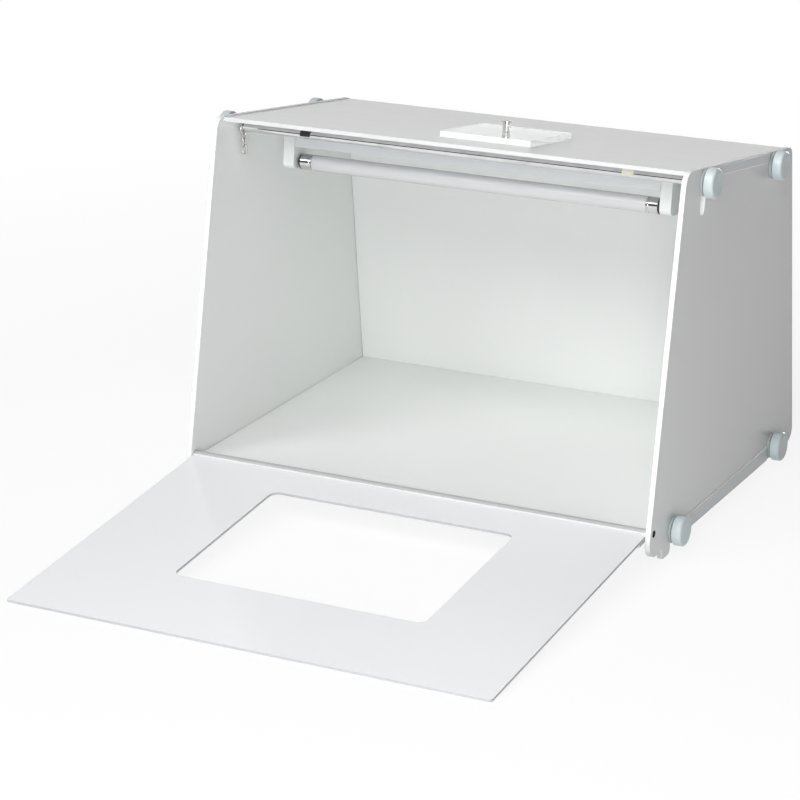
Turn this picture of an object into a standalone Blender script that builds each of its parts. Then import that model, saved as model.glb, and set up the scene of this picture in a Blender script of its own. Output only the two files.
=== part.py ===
# Table-top photo box of white plastic sheet with a fold-down front flap and a lamp under its top.
# Metres, +Z up, the table at Z = 0, the opening faces -Y. Outlines of the sides are drawn in (Y, Z)
# with the flap's hinge axis at Y = 0, and the box frame then centres the whole part on the origin.

import math

import bmesh
import bpy
from mathutils import Vector

# Clearances shared by every joint and seat
GAP = 0.0003
RUNNING_GAP = 0.0004
CUT_OVERRUN = 0.002

# Side panels
BOX_WIDTH = 0.502
SIDE_THICKNESS = 0.005
BASE_DEPTH = 0.3842
FRONT_HEIGHT = 0.3562
TOP_DEPTH = 0.2772
FRONT_LEAN = math.radians(12.05)
TOP_SLOPE = math.radians(8.1)
FRONT_FOOT_RADIUS = 0.015
FRONT_TOP_RADIUS = 0.014
REAR_TOP_RADIUS = 0.010
REAR_BOTTOM_RADIUS = 0.013

# Foot tab and notch at the front of each side panel
FOOT_HEIGHT = 0.0095
FOOT_LENGTH = 0.019
FOOT_RADIUS = 0.006
FOOT_TOE_RADIUS = 0.002
NOTCH_SETBACK = 0.030
NOTCH_WIDTH = 0.005
NOTCH_DEPTH = 0.002

# Cable slot in the right side panel, parallel to the leaning front edge
SLOT_LENGTH = 0.024
SLOT_WIDTH = 0.011
SLOT_SETBACK = 0.0464
SLOT_DROP = 0.0292

# Sheets between the sides
SHEET_THICKNESS = 0.004
TOP_RECESS = 0.001
TOP_FRONT_SETBACK = 0.0118
TOP_REAR_SETBACK = 0.005
BACK_INSET = 0.008
BACK_FOOT = 0.0025
FLOOR_FRONT_SETBACK = 0.006

# Tie rods and clamp knobs
ROD_DIAMETER = 0.0084
ROD_BORE = 0.0062
ROD_BORE_DEPTH = 0.014
TOP_ROD_DROP = 0.0131
TOP_FRONT_ROD_SETBACK = 0.0445
TOP_REAR_ROD_SETBACK = 0.053
BASE_FRONT_ROD_SETBACK = 0.0598
BASE_REAR_ROD_SETBACK = 0.0644
BASE_ROD_RISE = 0.0128
COLLAR_LENGTH = 0.0026
COLLAR_DIAMETER = 0.0094
KNOB_DIAMETER = 0.0295
KNOB_THICKNESS = 0.0097
KNOB_ROUNDING = 0.003
KNOB_FACE_DISH = 0.0006
HUB_DIAMETER = 0.026
HUB_THICKNESS = 0.0027
NECK_DIAMETER = 0.0215
NECK_LENGTH = 0.0013
STUD_DIAMETER = 0.0056
STUD_REACH = 0.011

# Edge strips on the outer faces of the side panels
STRIP_THICKNESS = 0.0015
TOP_STRIP_HEIGHT = 0.0092
BASE_STRIP_HEIGHT = 0.0148
STRIP_EDGE_INSET = 0.0004
STRIP_END_GAP = 0.0006

# Support rails glued under the top panel
RAIL_WIDTH = 0.0028
RAIL_OVERLAP = 0.008

# Front flap and its hinge
HINGE_SETBACK = 0.0138
HINGE_HEIGHT = 0.0327
HINGE_ROD_DIAMETER = 0.005
HINGE_HOLE_DIAMETER = 0.0072
HINGE_ROD_RECESS = 0.0018
FLAP_LENGTH = 0.3391
FLAP_THICKNESS = 0.0025
FLAP_CORNER_RADIUS = 0.003
FLAP_TIP_CLEARANCE = 0.0002
WINDOW_WIDTH = 0.26
WINDOW_LENGTH = 0.189
WINDOW_OFFSET = 0.0013
WINDOW_SETBACK = 0.0495
WINDOW_RADIUS = 0.009
PROFILE_WALL = 0.0015
PROFILE_LIP = 0.0055
PROFILE_TONGUE = 0.022
PROFILE_OPENING_START = math.radians(-80)
PROFILE_OPENING_END = math.radians(10)
PROFILE_LIP_START = math.radians(143)

# Lamp batten
LAMP_LEFT_MARGIN = 0.0414
LAMP_RIGHT_MARGIN = 0.033
LAMP_SETBACK = 0.0617
LAMP_WIDTH = 0.026
LAMP_HEIGHT = 0.0235
LAMP_WALL = 0.0012
HOLDER_LENGTH = 0.0117
HOLDER_DROP = 0.0227
HOLDER_RADIUS = 0.006
TUBE_DIAMETER = 0.016
TUBE_WALL = 0.0009
TUBE_DROP = 0.0157
CAP_LENGTH = 0.0145
CAP_BEVEL = 0.0008
PIN_DIAMETER = 0.0022
PIN_SPACING = 0.005
PIN_LENGTH = 0.0072
TUBE_END_GAP = 0.002
SOCKET_DEPTH = 0.0068
BOARD_LENGTH = 0.150
BOARD_THICKNESS = 0.0016
BOARD_MARGIN = 0.0012
CHOKE_LENGTH = 0.028
CHOKE_WIDTH = 0.016
CHOKE_HEIGHT = 0.012
LAMP_SCREW_SETBACK = 0.060
SCREW_HEAD_DIAMETER = 0.007
SCREW_HEAD_HEIGHT = 0.0018
SCREW_SHANK_DIAMETER = 0.003
SCREW_BITE = 0.0022
END_SCREW_DIAMETER = 0.0036
END_SCREW_DEPTH = 0.0045
END_SCREW_DROP = 0.0115
END_SCREW_SETBACK = 0.0045
END_SCREW_PROUD = 0.0006
INLET_WIDTH = 0.012
INLET_HEIGHT = 0.0075
INLET_DEPTH = 0.0055
INLET_RADIUS = 0.0034
INLET_RECESS = 0.001
INLET_DROP = 0.014

# Clear cover plate and thumb screw on the top panel
PLATE_SIZE = 0.097
PLATE_THICKNESS = 0.006
PLATE_OFFSET = 0.0205
PLATE_SETBACK = 0.1004
PLATE_RADIUS = 0.001
THUMB_HEAD_DIAMETER = 0.0098
THUMB_HEAD_HEIGHT = 0.002
THUMB_BODY_DIAMETER = 0.0078
THUMB_BODY_HEIGHT = 0.0088
THUMB_BEVEL = 0.0005
THUMB_SHANK_DIAMETER = 0.0038
THUMB_HOLE_DIAMETER = 0.0046
NUT_WIDTH = 0.007
NUT_HEIGHT = 0.0032
NUT_TAIL = 0.0012

# Clips and chain on the top front rod
CLIP_WALL = 0.0009
BLACK_CLIP_LENGTH = 0.0108
BLACK_CLIP_PLACE = 0.1697
WHITE_CLIP_LENGTH = 0.012
WHITE_CLIP_PLACE = 0.1757
CLIP_OPENING = math.radians(100)
CLIP_TURN = math.radians(60)
CHAIN_WIRE = 0.0016
RING_DIAMETER = 0.0142
LINK_LENGTH = 0.0100
LINK_WIDTH = 0.0062

# Rear feet under the floor panel
REAR_FOOT_DIAMETER = 0.018
REAR_FOOT_SPACING = 0.340
REAR_FOOT_SETBACK = 0.030
REAR_FOOT_CHAMFER = 0.0015

# Counts of facets
ROUND_STEPS = 24
SMALL_ROUND_STEPS = 16
CORNER_STEPS = 6
TUBE_STEPS = 32

# Sizes that follow from the ones above
HALF_WIDTH = BOX_WIDTH / 2
INNER_HALF = HALF_WIDTH - SIDE_THICKNESS
SHEET_WIDTH = 2 * (INNER_HALF - GAP)
LAMP_LENGTH = 2 * INNER_HALF - LAMP_LEFT_MARGIN - LAMP_RIGHT_MARGIN
LAMP_OFFSET = (LAMP_LEFT_MARGIN - LAMP_RIGHT_MARGIN) / 2
SIDE_MIDDLE = HALF_WIDTH - SIDE_THICKNESS / 2
BASE_Z = FOOT_HEIGHT
FRONT_BASE = Vector((-HINGE_SETBACK, BASE_Z))
REAR_BASE = Vector((BASE_DEPTH - HINGE_SETBACK, BASE_Z))
FRONT_TOP = FRONT_BASE + FRONT_HEIGHT * Vector((math.tan(FRONT_LEAN), 1))
REAR_TOP = FRONT_TOP + TOP_DEPTH * Vector((1, -math.tan(TOP_SLOPE)))
BACK_EDGE = REAR_TOP - REAR_BASE
BACK_LEAN = math.atan2(-BACK_EDGE.x, BACK_EDGE.y)
TOP_EDGE_LENGTH = TOP_DEPTH / math.cos(TOP_SLOPE)
TOP_UNDERSIDE = TOP_RECESS + SHEET_THICKNESS
BASE_ROD_HEIGHT = BASE_Z + BASE_ROD_RISE
FLOOR_BOTTOM = BASE_ROD_HEIGHT + ROD_DIAMETER / 2 + GAP
FLOOR_TOP = FLOOR_BOTTOM + SHEET_THICKNESS


def clear_scene():
    for old in list(bpy.data.objects):
        bpy.data.objects.remove(old, do_unlink=True)


def new_collection(name):
    made = bpy.data.collections.new(name)
    bpy.context.scene.collection.children.link(made)
    return made


clear_scene()
PARTS = new_collection("photo_box")
CUTTERS = new_collection("cutters")


def finish(name, colour, roughness, metallic=0.0, alpha=1.0):
    made = bpy.data.materials.new(name)
    made.use_nodes = True
    shader = made.node_tree.nodes["Principled BSDF"]
    shader.inputs["Base Color"].default_value = (*colour, 1.0)
    shader.inputs["Roughness"].default_value = roughness
    shader.inputs["Metallic"].default_value = metallic
    shader.inputs["Alpha"].default_value = alpha
    return made


WHITE_SHEET = finish("white_sheet", (0.80, 0.81, 0.82), 0.22)
FLAP_SHEET = finish("flap_sheet", (0.82, 0.83, 0.84), 0.18)
WHITE_PROFILE = finish("white_profile", (0.78, 0.79, 0.79), 0.30)
GREY_STRIP = finish("grey_strip", (0.42, 0.45, 0.47), 0.35)
KNOB_PLASTIC = finish("knob_plastic", (0.55, 0.63, 0.66), 0.35)
BRIGHT_METAL = finish("bright_metal", (0.75, 0.75, 0.76), 0.10, 1.0)
STEEL = finish("steel", (0.55, 0.56, 0.57), 0.30, 1.0)
LAMP_BODY = finish("lamp_body", (0.70, 0.74, 0.75), 0.35)
TUBE_GLASS = finish("tube_glass", (0.86, 0.87, 0.86), 0.15)
BLACK_PLASTIC = finish("black_plastic", (0.02, 0.02, 0.02), 0.40)
CREAM_PLASTIC = finish("cream_plastic", (0.80, 0.77, 0.68), 0.35)
CLEAR_ACRYLIC = finish("clear_acrylic", (0.90, 0.92, 0.93), 0.05, alpha=0.35)
BOARD_GREEN = finish("board_green", (0.05, 0.22, 0.10), 0.55)
FOOT_RUBBER = finish("foot_rubber", (0.35, 0.36, 0.36), 0.80)


def frame_empty(name, frame, place, turn=0.0):
    """An empty that carries the pieces of one tilted group; turn is about the X axis."""
    made = bpy.data.objects.new(name, None)
    made.parent = frame
    made.location = place
    made.rotation_euler = (turn, 0, 0)
    PARTS.objects.link(made)
    return made



def flap_tilt():
    """Angle at which the flap's lower tip corner meets the table."""
    reach = math.hypot(FLAP_LENGTH, FLAP_THICKNESS / 2)
    drop = HINGE_HEIGHT - FLAP_TIP_CLEARANCE
    return math.asin(drop / reach) - math.atan2(FLAP_THICKNESS / 2, FLAP_LENGTH)


def flap_reach():
    """How far in front of the hinge the flap's upper tip corner lies."""
    along = FLAP_LENGTH * math.cos(flap_tilt())
    return along + FLAP_THICKNESS / 2 * math.sin(flap_tilt())


def place_part(obj, material, frame=None, place=(0, 0, 0), turn=(0, 0, 0)):
    obj.data.materials.clear()
    obj.data.materials.append(material)
    obj.parent = frame
    obj.location = place
    obj.rotation_euler = turn
    PARTS.objects.link(obj)
    return obj


def arc_points(centre, radius, start, end, steps):
    return [
        Vector(centre) + radius * Vector((math.cos(a), math.sin(a)))
        for a in (start + (end - start) * i / steps for i in range(steps + 1))
    ]


def circle_points(centre, diameter, steps=SMALL_ROUND_STEPS):
    return arc_points(centre, diameter / 2, 0, 2 * math.pi, steps)[:-1]


def rounded_outline(corners):
    """Closed outline from (point, radius) pairs, each corner swept as an arc of its radius."""
    outline = []
    count = len(corners)
    for i, (point, radius) in enumerate(corners):
        here = Vector(point)
        if not radius:
            outline.append(here)
            continue
        back = (Vector(corners[i - 1][0]) - here).normalized()
        ahead = (Vector(corners[(i + 1) % count][0]) - here).normalized()
        half = back.angle(ahead) / 2
        centre = here + (back + ahead).normalized() * radius / math.sin(half)
        first = here + back * radius / math.tan(half) - centre
        last = here + ahead * radius / math.tan(half) - centre
        start = math.atan2(first.y, first.x)
        sweep = math.remainder(math.atan2(last.y, last.x) - start, 2 * math.pi)
        outline += arc_points(centre, radius, start, start + sweep, CORNER_STEPS)
    return outline


def rectangle(x_low, x_high, y_low, y_high, radius=0.0):
    corners = ((x_low, y_low), (x_high, y_low), (x_high, y_high), (x_low, y_high))
    return rounded_outline([(corner, radius) for corner in corners])


def slot_points(centre, length, width, lean):
    """Outline of a round-ended slot whose long way leans from +Y towards +X."""
    along = Vector((math.sin(lean), math.cos(lean)))
    reach = along * (length - width) / 2
    heading = math.atan2(along.y, along.x)
    quarter = math.pi / 2
    half_steps = SMALL_ROUND_STEPS // 2
    upper = arc_points(Vector(centre) + reach, width / 2, heading - quarter, heading + quarter, half_steps)
    lower = arc_points(
        Vector(centre) - reach, width / 2, heading + quarter, heading + 3 * quarter, half_steps
    )
    return upper + lower


def flat_curve(name, outlines, thickness):
    """A flat outline with holes, filled and extruded to its thickness about its own plane."""
    data = bpy.data.curves.new(name, "CURVE")
    data.dimensions = "2D"
    data.fill_mode = "BOTH"
    data.extrude = thickness / 2
    data.render_resolution_u = 0
    for outline in outlines:
        spline = data.splines.new("POLY")
        spline.points.add(len(outline) - 1)
        for point, spot in zip(spline.points, outline):
            point.co = (spot[0], spot[1], 0, 1)
        spline.use_cyclic_u = True
    return bpy.data.objects.new(name, data)


def as_mesh(curve_object):
    """The same piece as a closed mesh, for a cut or a union."""
    bpy.context.scene.collection.objects.link(curve_object)
    bpy.context.view_layer.update()
    evaluated = curve_object.evaluated_get(bpy.context.evaluated_depsgraph_get())
    mesh = bpy.data.meshes.new_from_object(evaluated)
    name = curve_object.name
    bpy.data.objects.remove(curve_object, do_unlink=True)
    work = bmesh.new()
    work.from_mesh(mesh)
    bmesh.ops.remove_doubles(work, verts=work.verts, dist=GAP / 100)
    bmesh.ops.recalc_face_normals(work, faces=work.faces)
    work.to_mesh(mesh)
    work.free()
    return bpy.data.objects.new(name, mesh)


def wire_loop(name, points, diameter):
    """A closed ring of round wire through the given points."""
    data = bpy.data.curves.new(name, "CURVE")
    data.dimensions = "3D"
    data.bevel_depth = diameter / 2
    data.bevel_resolution = 1
    data.render_resolution_u = 0
    spline = data.splines.new("POLY")
    spline.points.add(len(points) - 1)
    for point, spot in zip(spline.points, points):
        point.co = (*spot, 1)
    spline.use_cyclic_u = True
    return bpy.data.objects.new(name, data)


def turned(name, profile, steps=ROUND_STEPS):
    """A solid of revolution about Z; the profile of (radius, height) runs from top to bottom."""
    mesh = bpy.data.meshes.new(name)
    mesh.from_pydata([(r, 0, z) for r, z in profile], [(i, i + 1) for i in range(len(profile) - 1)], [])
    made = bpy.data.objects.new(name, mesh)
    screw = made.modifiers.new("turn", "SCREW")
    screw.steps = steps
    screw.render_steps = steps
    screw.use_merge_vertices = True
    screw.merge_threshold = GAP / 100
    screw.use_smooth_shade = False
    return made


def rounded_profile(radius, top, rounding, steps=CORNER_STEPS):
    """Profile points from the axis out over a rounded shoulder at the top of a turned piece."""
    centre = (radius - rounding, top - rounding)
    arc = arc_points(centre, rounding, math.pi / 2, 0, steps)
    return [(0, top)] + [(spot.x, spot.y) for spot in arc]


def block(name, size):
    mesh = bpy.data.meshes.new(name)
    work = bmesh.new()
    bmesh.ops.create_cube(work, size=1.0)
    bmesh.ops.scale(work, vec=size, verts=work.verts)
    work.to_mesh(mesh)
    work.free()
    return bpy.data.objects.new(name, mesh)


def cylinder(name, diameter, length, steps=SMALL_ROUND_STEPS):
    mesh = bpy.data.meshes.new(name)
    work = bmesh.new()
    radius = diameter / 2
    bmesh.ops.create_cone(
        work, cap_ends=True, segments=steps, radius1=radius, radius2=radius, depth=length
    )
    work.to_mesh(mesh)
    work.free()
    return bpy.data.objects.new(name, mesh)


def joined_or_cut(obj, tool, operation):
    """Adds an exact Boolean; the tool is kept as a hidden wire object beside the parts."""
    if tool.name not in CUTTERS.objects:
        CUTTERS.objects.link(tool)
    tool.hide_render = True
    tool.display_type = "WIRE"
    step = obj.modifiers.new(tool.name, "BOOLEAN")
    step.operation = operation
    step.object = tool
    step.solver = "EXACT"


# Turns that lay a flat outline or a turned piece across the box
ACROSS = (math.pi / 2, 0, math.pi / 2)
AXIS_RIGHT = (0, math.pi / 2, 0)
AXIS_LEFT = (0, -math.pi / 2, 0)
SIDES = (("left", -1), ("right", 1))


def on_top(setback, drop):
    """World (Y, Z) of a place given along the sloping top edge and square below it."""
    along = Vector((math.cos(TOP_SLOPE), -math.sin(TOP_SLOPE)))
    down = Vector((-math.sin(TOP_SLOPE), -math.cos(TOP_SLOPE)))
    return FRONT_TOP + along * setback + down * drop


TOP_FRONT_ROD = on_top(TOP_FRONT_ROD_SETBACK, TOP_ROD_DROP)
TOP_REAR_ROD = on_top(TOP_EDGE_LENGTH - TOP_REAR_ROD_SETBACK, TOP_ROD_DROP)
BASE_FRONT_ROD = Vector((FRONT_BASE.x + BASE_FRONT_ROD_SETBACK, BASE_ROD_HEIGHT))
BASE_REAR_ROD = Vector((REAR_BASE.x - BASE_REAR_ROD_SETBACK, BASE_ROD_HEIGHT))
ROD_PLACES = {
    "top_front": TOP_FRONT_ROD,
    "top_rear": TOP_REAR_ROD,
    "bottom_front": BASE_FRONT_ROD,
    "bottom_rear": BASE_REAR_ROD,
}


def side_outline():
    """Outline of a side panel: rounded corners, the notch and the foot tab at the front."""
    notch_front = FRONT_BASE.x + NOTCH_SETBACK
    notch_rear = notch_front + NOTCH_WIDTH
    foot_rear = notch_rear + FOOT_LENGTH
    notch_top = BASE_Z + NOTCH_DEPTH
    return rounded_outline([
        (FRONT_BASE, FRONT_FOOT_RADIUS),
        ((notch_front, BASE_Z), 0),
        ((notch_front, notch_top), 0),
        ((notch_rear, notch_top), 0),
        ((notch_rear, 0), FOOT_TOE_RADIUS),
        ((foot_rear, 0), FOOT_RADIUS),
        ((foot_rear, BASE_Z), 0),
        (REAR_BASE, REAR_BOTTOM_RADIUS),
        (REAR_TOP, REAR_TOP_RADIUS),
        (FRONT_TOP, FRONT_TOP_RADIUS),
    ])


def slot_centre():
    """Middle of the cable slot, set in from the leaning front edge and down from its top corner."""
    down = Vector((-math.sin(FRONT_LEAN), -math.cos(FRONT_LEAN)))
    inward = Vector((math.cos(FRONT_LEAN), -math.sin(FRONT_LEAN)))
    return FRONT_TOP + down * SLOT_DROP + inward * SLOT_SETBACK


REAR_LIMIT = max(point.x for point in side_outline())
FRONT_LIMIT = -flap_reach()
BASE_FRAME = frame_empty("box_frame", None, (0, -(REAR_LIMIT + FRONT_LIMIT) / 2, 0))
TOP_FRAME = frame_empty("top_frame", BASE_FRAME, (0, *FRONT_TOP), -TOP_SLOPE)
BACK_FRAME = frame_empty("back_frame", BASE_FRAME, (0, *REAR_BASE), BACK_LEAN)
FLAP_FRAME = frame_empty("flap_frame", BASE_FRAME, (0, 0, HINGE_HEIGHT), flap_tilt())


def make_side_panels():
    stud_hole = STUD_DIAMETER + 2 * RUNNING_GAP
    holes = [circle_points(place, stud_hole) for place in ROD_PLACES.values()]
    rod_play = (HINGE_HOLE_DIAMETER - HINGE_ROD_DIAMETER) / 2 - GAP
    holes.append(circle_points((0, HINGE_HEIGHT + rod_play), HINGE_HOLE_DIAMETER))
    slot = slot_points(slot_centre(), SLOT_LENGTH, SLOT_WIDTH, FRONT_LEAN)
    for side, sign in SIDES:
        cuts = holes + [slot] if side == "right" else holes
        panel = flat_curve(f"{side}_side_panel", [side_outline()] + cuts, SIDE_THICKNESS)
        place_part(panel, WHITE_SHEET, BASE_FRAME, (sign * SIDE_MIDDLE, 0, 0), ACROSS)


def make_top_panel():
    length = TOP_EDGE_LENGTH - TOP_FRONT_SETBACK - TOP_REAR_SETBACK
    half = SHEET_WIDTH / 2
    outline = rectangle(-half, half, TOP_FRONT_SETBACK, TOP_FRONT_SETBACK + length)
    screw_hole = circle_points((PLATE_OFFSET, PLATE_SETBACK), THUMB_HOLE_DIAMETER)
    panel = flat_curve("top_panel", [outline, screw_hole], SHEET_THICKNESS)
    middle = TOP_RECESS + SHEET_THICKNESS / 2
    place_part(panel, WHITE_SHEET, TOP_FRAME, (0, 0, -middle))
    rail_height = TOP_ROD_DROP - COLLAR_DIAMETER / 2 - TOP_UNDERSIDE - 2 * GAP
    rail_start = TOP_FRONT_ROD_SETBACK - RAIL_OVERLAP
    rail_end = TOP_EDGE_LENGTH - TOP_REAR_ROD_SETBACK + RAIL_OVERLAP
    for side, sign in SIDES:
        rail = block(f"top_rail_{side}", (RAIL_WIDTH, rail_end - rail_start, rail_height))
        across = sign * (INNER_HALF - GAP - RAIL_WIDTH / 2)
        depth = TOP_UNDERSIDE + GAP + rail_height / 2
        place_part(rail, WHITE_PROFILE, TOP_FRAME, (across, (rail_start + rail_end) / 2, -depth))


def back_panel_height():
    """How far the back panel reaches up its own slope before it meets the top panel's underside."""
    up = BACK_EDGE.normalized()
    front_face = REAR_BASE - Vector((up.y, -up.x)) * (BACK_INSET + SHEET_THICKNESS)
    rear_face = REAR_BASE - Vector((up.y, -up.x)) * BACK_INSET
    under = on_top(0, TOP_UNDERSIDE + GAP)
    normal = Vector((math.sin(TOP_SLOPE), math.cos(TOP_SLOPE)))
    return min((under - foot).dot(normal) / up.dot(normal) for foot in (front_face, rear_face))


def make_back_and_floor():
    half = SHEET_WIDTH / 2
    height = back_panel_height()
    outline = rectangle(-half, half, BACK_FOOT, height)
    back = flat_curve("back_panel", [outline], SHEET_THICKNESS)
    depth = BACK_INSET + SHEET_THICKNESS / 2
    place_part(back, WHITE_SHEET, BACK_FRAME, (0, -depth, 0), (math.pi / 2, 0, 0))
    up = BACK_EDGE.normalized()
    inward = (BACK_INSET + SHEET_THICKNESS + GAP) / up.y
    floor_rear = REAR_BASE.x + up.x / up.y * (FLOOR_TOP - BASE_Z) - inward
    floor = flat_curve(
        "floor_panel", [rectangle(-half, half, FLOOR_FRONT_SETBACK, floor_rear)], SHEET_THICKNESS
    )
    place_part(floor, WHITE_SHEET, BASE_FRAME, (0, 0, FLOOR_BOTTOM + SHEET_THICKNESS / 2))


def make_strips():
    """Thin strips along the top and bottom edges of the side panels, between the knobs' hubs."""
    end = HUB_DIAMETER / 2 + STRIP_END_GAP
    across = HALF_WIDTH + GAP + STRIP_THICKNESS / 2
    top_start = TOP_FRONT_ROD_SETBACK + end
    top_end = TOP_EDGE_LENGTH - TOP_REAR_ROD_SETBACK - end
    base_start = BASE_FRONT_ROD.x + end
    base_end = BASE_REAR_ROD.x - end
    for side, sign in SIDES:
        upper = block(f"{side}_top_strip", (STRIP_THICKNESS, top_end - top_start, TOP_STRIP_HEIGHT))
        drop = STRIP_EDGE_INSET + TOP_STRIP_HEIGHT / 2
        place_part(
            upper, GREY_STRIP, TOP_FRAME, (sign * across, (top_start + top_end) / 2, -drop)
        )
        lower = block(
            f"{side}_bottom_strip", (STRIP_THICKNESS, base_end - base_start, BASE_STRIP_HEIGHT)
        )
        rise = BASE_Z + STRIP_EDGE_INSET + BASE_STRIP_HEIGHT / 2
        place_part(
            lower, GREY_STRIP, BASE_FRAME, (sign * across, (base_start + base_end) / 2, rise)
        )


def bored_rod(name, half_length):
    """A round rod about Z with a blind bore in each end for the knobs' studs."""
    outer = ROD_DIAMETER / 2
    bore = ROD_BORE / 2
    floor_z = half_length - ROD_BORE_DEPTH
    return turned(name, [
        (0, floor_z), (bore, floor_z), (bore, half_length), (outer, half_length),
        (outer, -half_length), (bore, -half_length), (bore, -floor_z), (0, -floor_z),
    ])


def make_collars(key, place):
    """Rings between the ends of a top rod and the side panels; the top panel's rails rest on them."""
    outer, inner = COLLAR_DIAMETER / 2, ROD_BORE / 2
    half = COLLAR_LENGTH / 2
    for side, sign in SIDES:
        collar = turned(f"rod_collar_{side}_{key[4:]}", [
            (inner, half), (outer, half), (outer, -half), (inner, -half), (inner, half)
        ])
        across = sign * (INNER_HALF - GAP - half)
        place_part(collar, GREY_STRIP, BASE_FRAME, (across, place.x, place.y), AXIS_RIGHT)


def make_rods():
    for key, place in ROD_PLACES.items():
        half_length = INNER_HALF - GAP
        if key.startswith("top"):
            half_length -= COLLAR_LENGTH + GAP
            make_collars(key, place)
        rod = bored_rod(f"{key}_rod", half_length)
        place_part(rod, BRIGHT_METAL, BASE_FRAME, (0, place.x, place.y), AXIS_RIGHT)


def knob_profile():
    """Head with a rounded rim, short neck, hub and stud; Z = 0 is the panel's outer face."""
    hub_top = GAP + HUB_THICKNESS
    head_back = hub_top + NECK_LENGTH
    top = head_back + KNOB_THICKNESS
    shoulder = rounded_profile(KNOB_DIAMETER / 2, top, KNOB_ROUNDING)
    shoulder[0] = (0, top - KNOB_FACE_DISH)
    neck = NECK_DIAMETER / 2
    hub = HUB_DIAMETER / 2
    stud = STUD_DIAMETER / 2
    return shoulder + [
        (KNOB_DIAMETER / 2, head_back), (neck, head_back), (neck, hub_top),
        (hub, hub_top), (hub, GAP), (stud, GAP),
        (stud, -SIDE_THICKNESS - STUD_REACH), (0, -SIDE_THICKNESS - STUD_REACH),
    ]


def make_knobs():
    for side, sign in SIDES:
        for key, place in ROD_PLACES.items():
            knob = turned(f"knob_{side}_{key}", knob_profile())
            turn = AXIS_RIGHT if sign > 0 else AXIS_LEFT
            place_part(knob, KNOB_PLASTIC, BASE_FRAME, (sign * HALF_WIDTH, place.x, place.y), turn)


def hinge_profile_outline():
    """Snap hinge section: a barrel over the rod, a lip above and a tongue below the flap."""
    inner = HINGE_ROD_DIAMETER / 2 + GAP
    outer = inner + PROFILE_WALL
    turn = 2 * math.pi
    web = outer + GAP
    seat = FLAP_THICKNESS / 2 + GAP
    outline = [Vector((-PROFILE_TONGUE, -outer))]
    outline += arc_points(
        (0, 0), outer, 3 * math.pi / 2, turn + PROFILE_OPENING_START, SMALL_ROUND_STEPS // 4
    )
    outline += arc_points(
        (0, 0), inner, turn + PROFILE_OPENING_START, PROFILE_OPENING_END, ROUND_STEPS
    )
    outline += arc_points(
        (0, 0), outer, PROFILE_OPENING_END, PROFILE_LIP_START, ROUND_STEPS // 2
    )
    lip_top = outline[-1].y
    outline += [
        Vector((-PROFILE_LIP, lip_top)), Vector((-PROFILE_LIP, seat)),
        Vector((-web, seat)), Vector((-web, -seat)), Vector((-PROFILE_TONGUE, -seat)),
    ]
    return outline


def make_flap():
    half = INNER_HALF - GAP
    rear = HINGE_ROD_DIAMETER / 2 + GAP + PROFILE_WALL + 2 * GAP
    outline = rounded_outline([
        ((-half, -rear), 0), ((half, -rear), 0),
        ((half, -FLAP_LENGTH), FLAP_CORNER_RADIUS), ((-half, -FLAP_LENGTH), FLAP_CORNER_RADIUS),
    ])
    left = WINDOW_OFFSET - WINDOW_WIDTH / 2
    front = -WINDOW_SETBACK - WINDOW_LENGTH
    window = rectangle(left, left + WINDOW_WIDTH, front, -WINDOW_SETBACK, WINDOW_RADIUS)
    flap = flat_curve("front_flap", [outline, window], FLAP_THICKNESS)
    place_part(flap, FLAP_SHEET, FLAP_FRAME)
    profile = flat_curve("flap_hinge_profile", [hinge_profile_outline()], 2 * half)
    place_part(profile, GREY_STRIP, FLAP_FRAME, (0, 0, 0), ACROSS)
    length = 2 * (HALF_WIDTH - HINGE_ROD_RECESS)
    rod = cylinder("hinge_rod", HINGE_ROD_DIAMETER, length)
    place_part(rod, STEEL, BASE_FRAME, (0, 0, HINGE_HEIGHT), AXIS_RIGHT)


HOUSING_LENGTH = LAMP_LENGTH - 2 * (HOLDER_LENGTH + GAP)
LAMP_TOP = TOP_UNDERSIDE + GAP
LAMP_BOTTOM = LAMP_TOP + LAMP_HEIGHT
LAMP_MIDDLE = LAMP_SETBACK + LAMP_WIDTH / 2
TUBE_CENTRE_DROP = LAMP_BOTTOM + TUBE_DROP
HOLDER_MIDDLE = (LAMP_LENGTH - HOLDER_LENGTH) / 2
SOCKET_DIAMETER = PIN_SPACING + PIN_DIAMETER + 2 * GAP


def make_lamp_housing():
    """U-shaped channel, open towards the top panel, with its ballast inside."""
    half = LAMP_WIDTH / 2
    inner = half - LAMP_WALL
    bottom = -LAMP_HEIGHT
    section = [
        (-half, 0), (-half, bottom), (half, bottom), (half, 0),
        (inner, 0), (inner, bottom + LAMP_WALL), (-inner, bottom + LAMP_WALL), (-inner, 0),
    ]
    housing = as_mesh(flat_curve("lamp_housing", [section], HOUSING_LENGTH))
    place = (LAMP_OFFSET, LAMP_MIDDLE, -LAMP_TOP)
    place_part(housing, LAMP_BODY, TOP_FRAME, place, ACROSS)
    hole_diameter = SCREW_SHANK_DIAMETER + 2 * GAP
    for side, sign in SIDES:
        along = HOUSING_LENGTH / 2 - LAMP_SCREW_SETBACK
        strap = block(f"lamp_bracket_{side}", (
            SCREW_HEAD_DIAMETER + 2 * LAMP_WALL, 2 * (inner - GAP), LAMP_WALL
        ))
        strap_drop = LAMP_TOP + LAMP_WALL / 2
        spot = (LAMP_OFFSET + sign * along, LAMP_MIDDLE, -strap_drop)
        place_part(strap, STEEL, TOP_FRAME, spot)
        drill = cylinder(f"drill_bracket_{side}", hole_diameter, LAMP_WALL + CUT_OVERRUN)
        joined_or_cut(strap, drill, "DIFFERENCE")
        drill.parent = TOP_FRAME
        drill.location = spot
        make_lamp_screw(side, spot)


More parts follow.
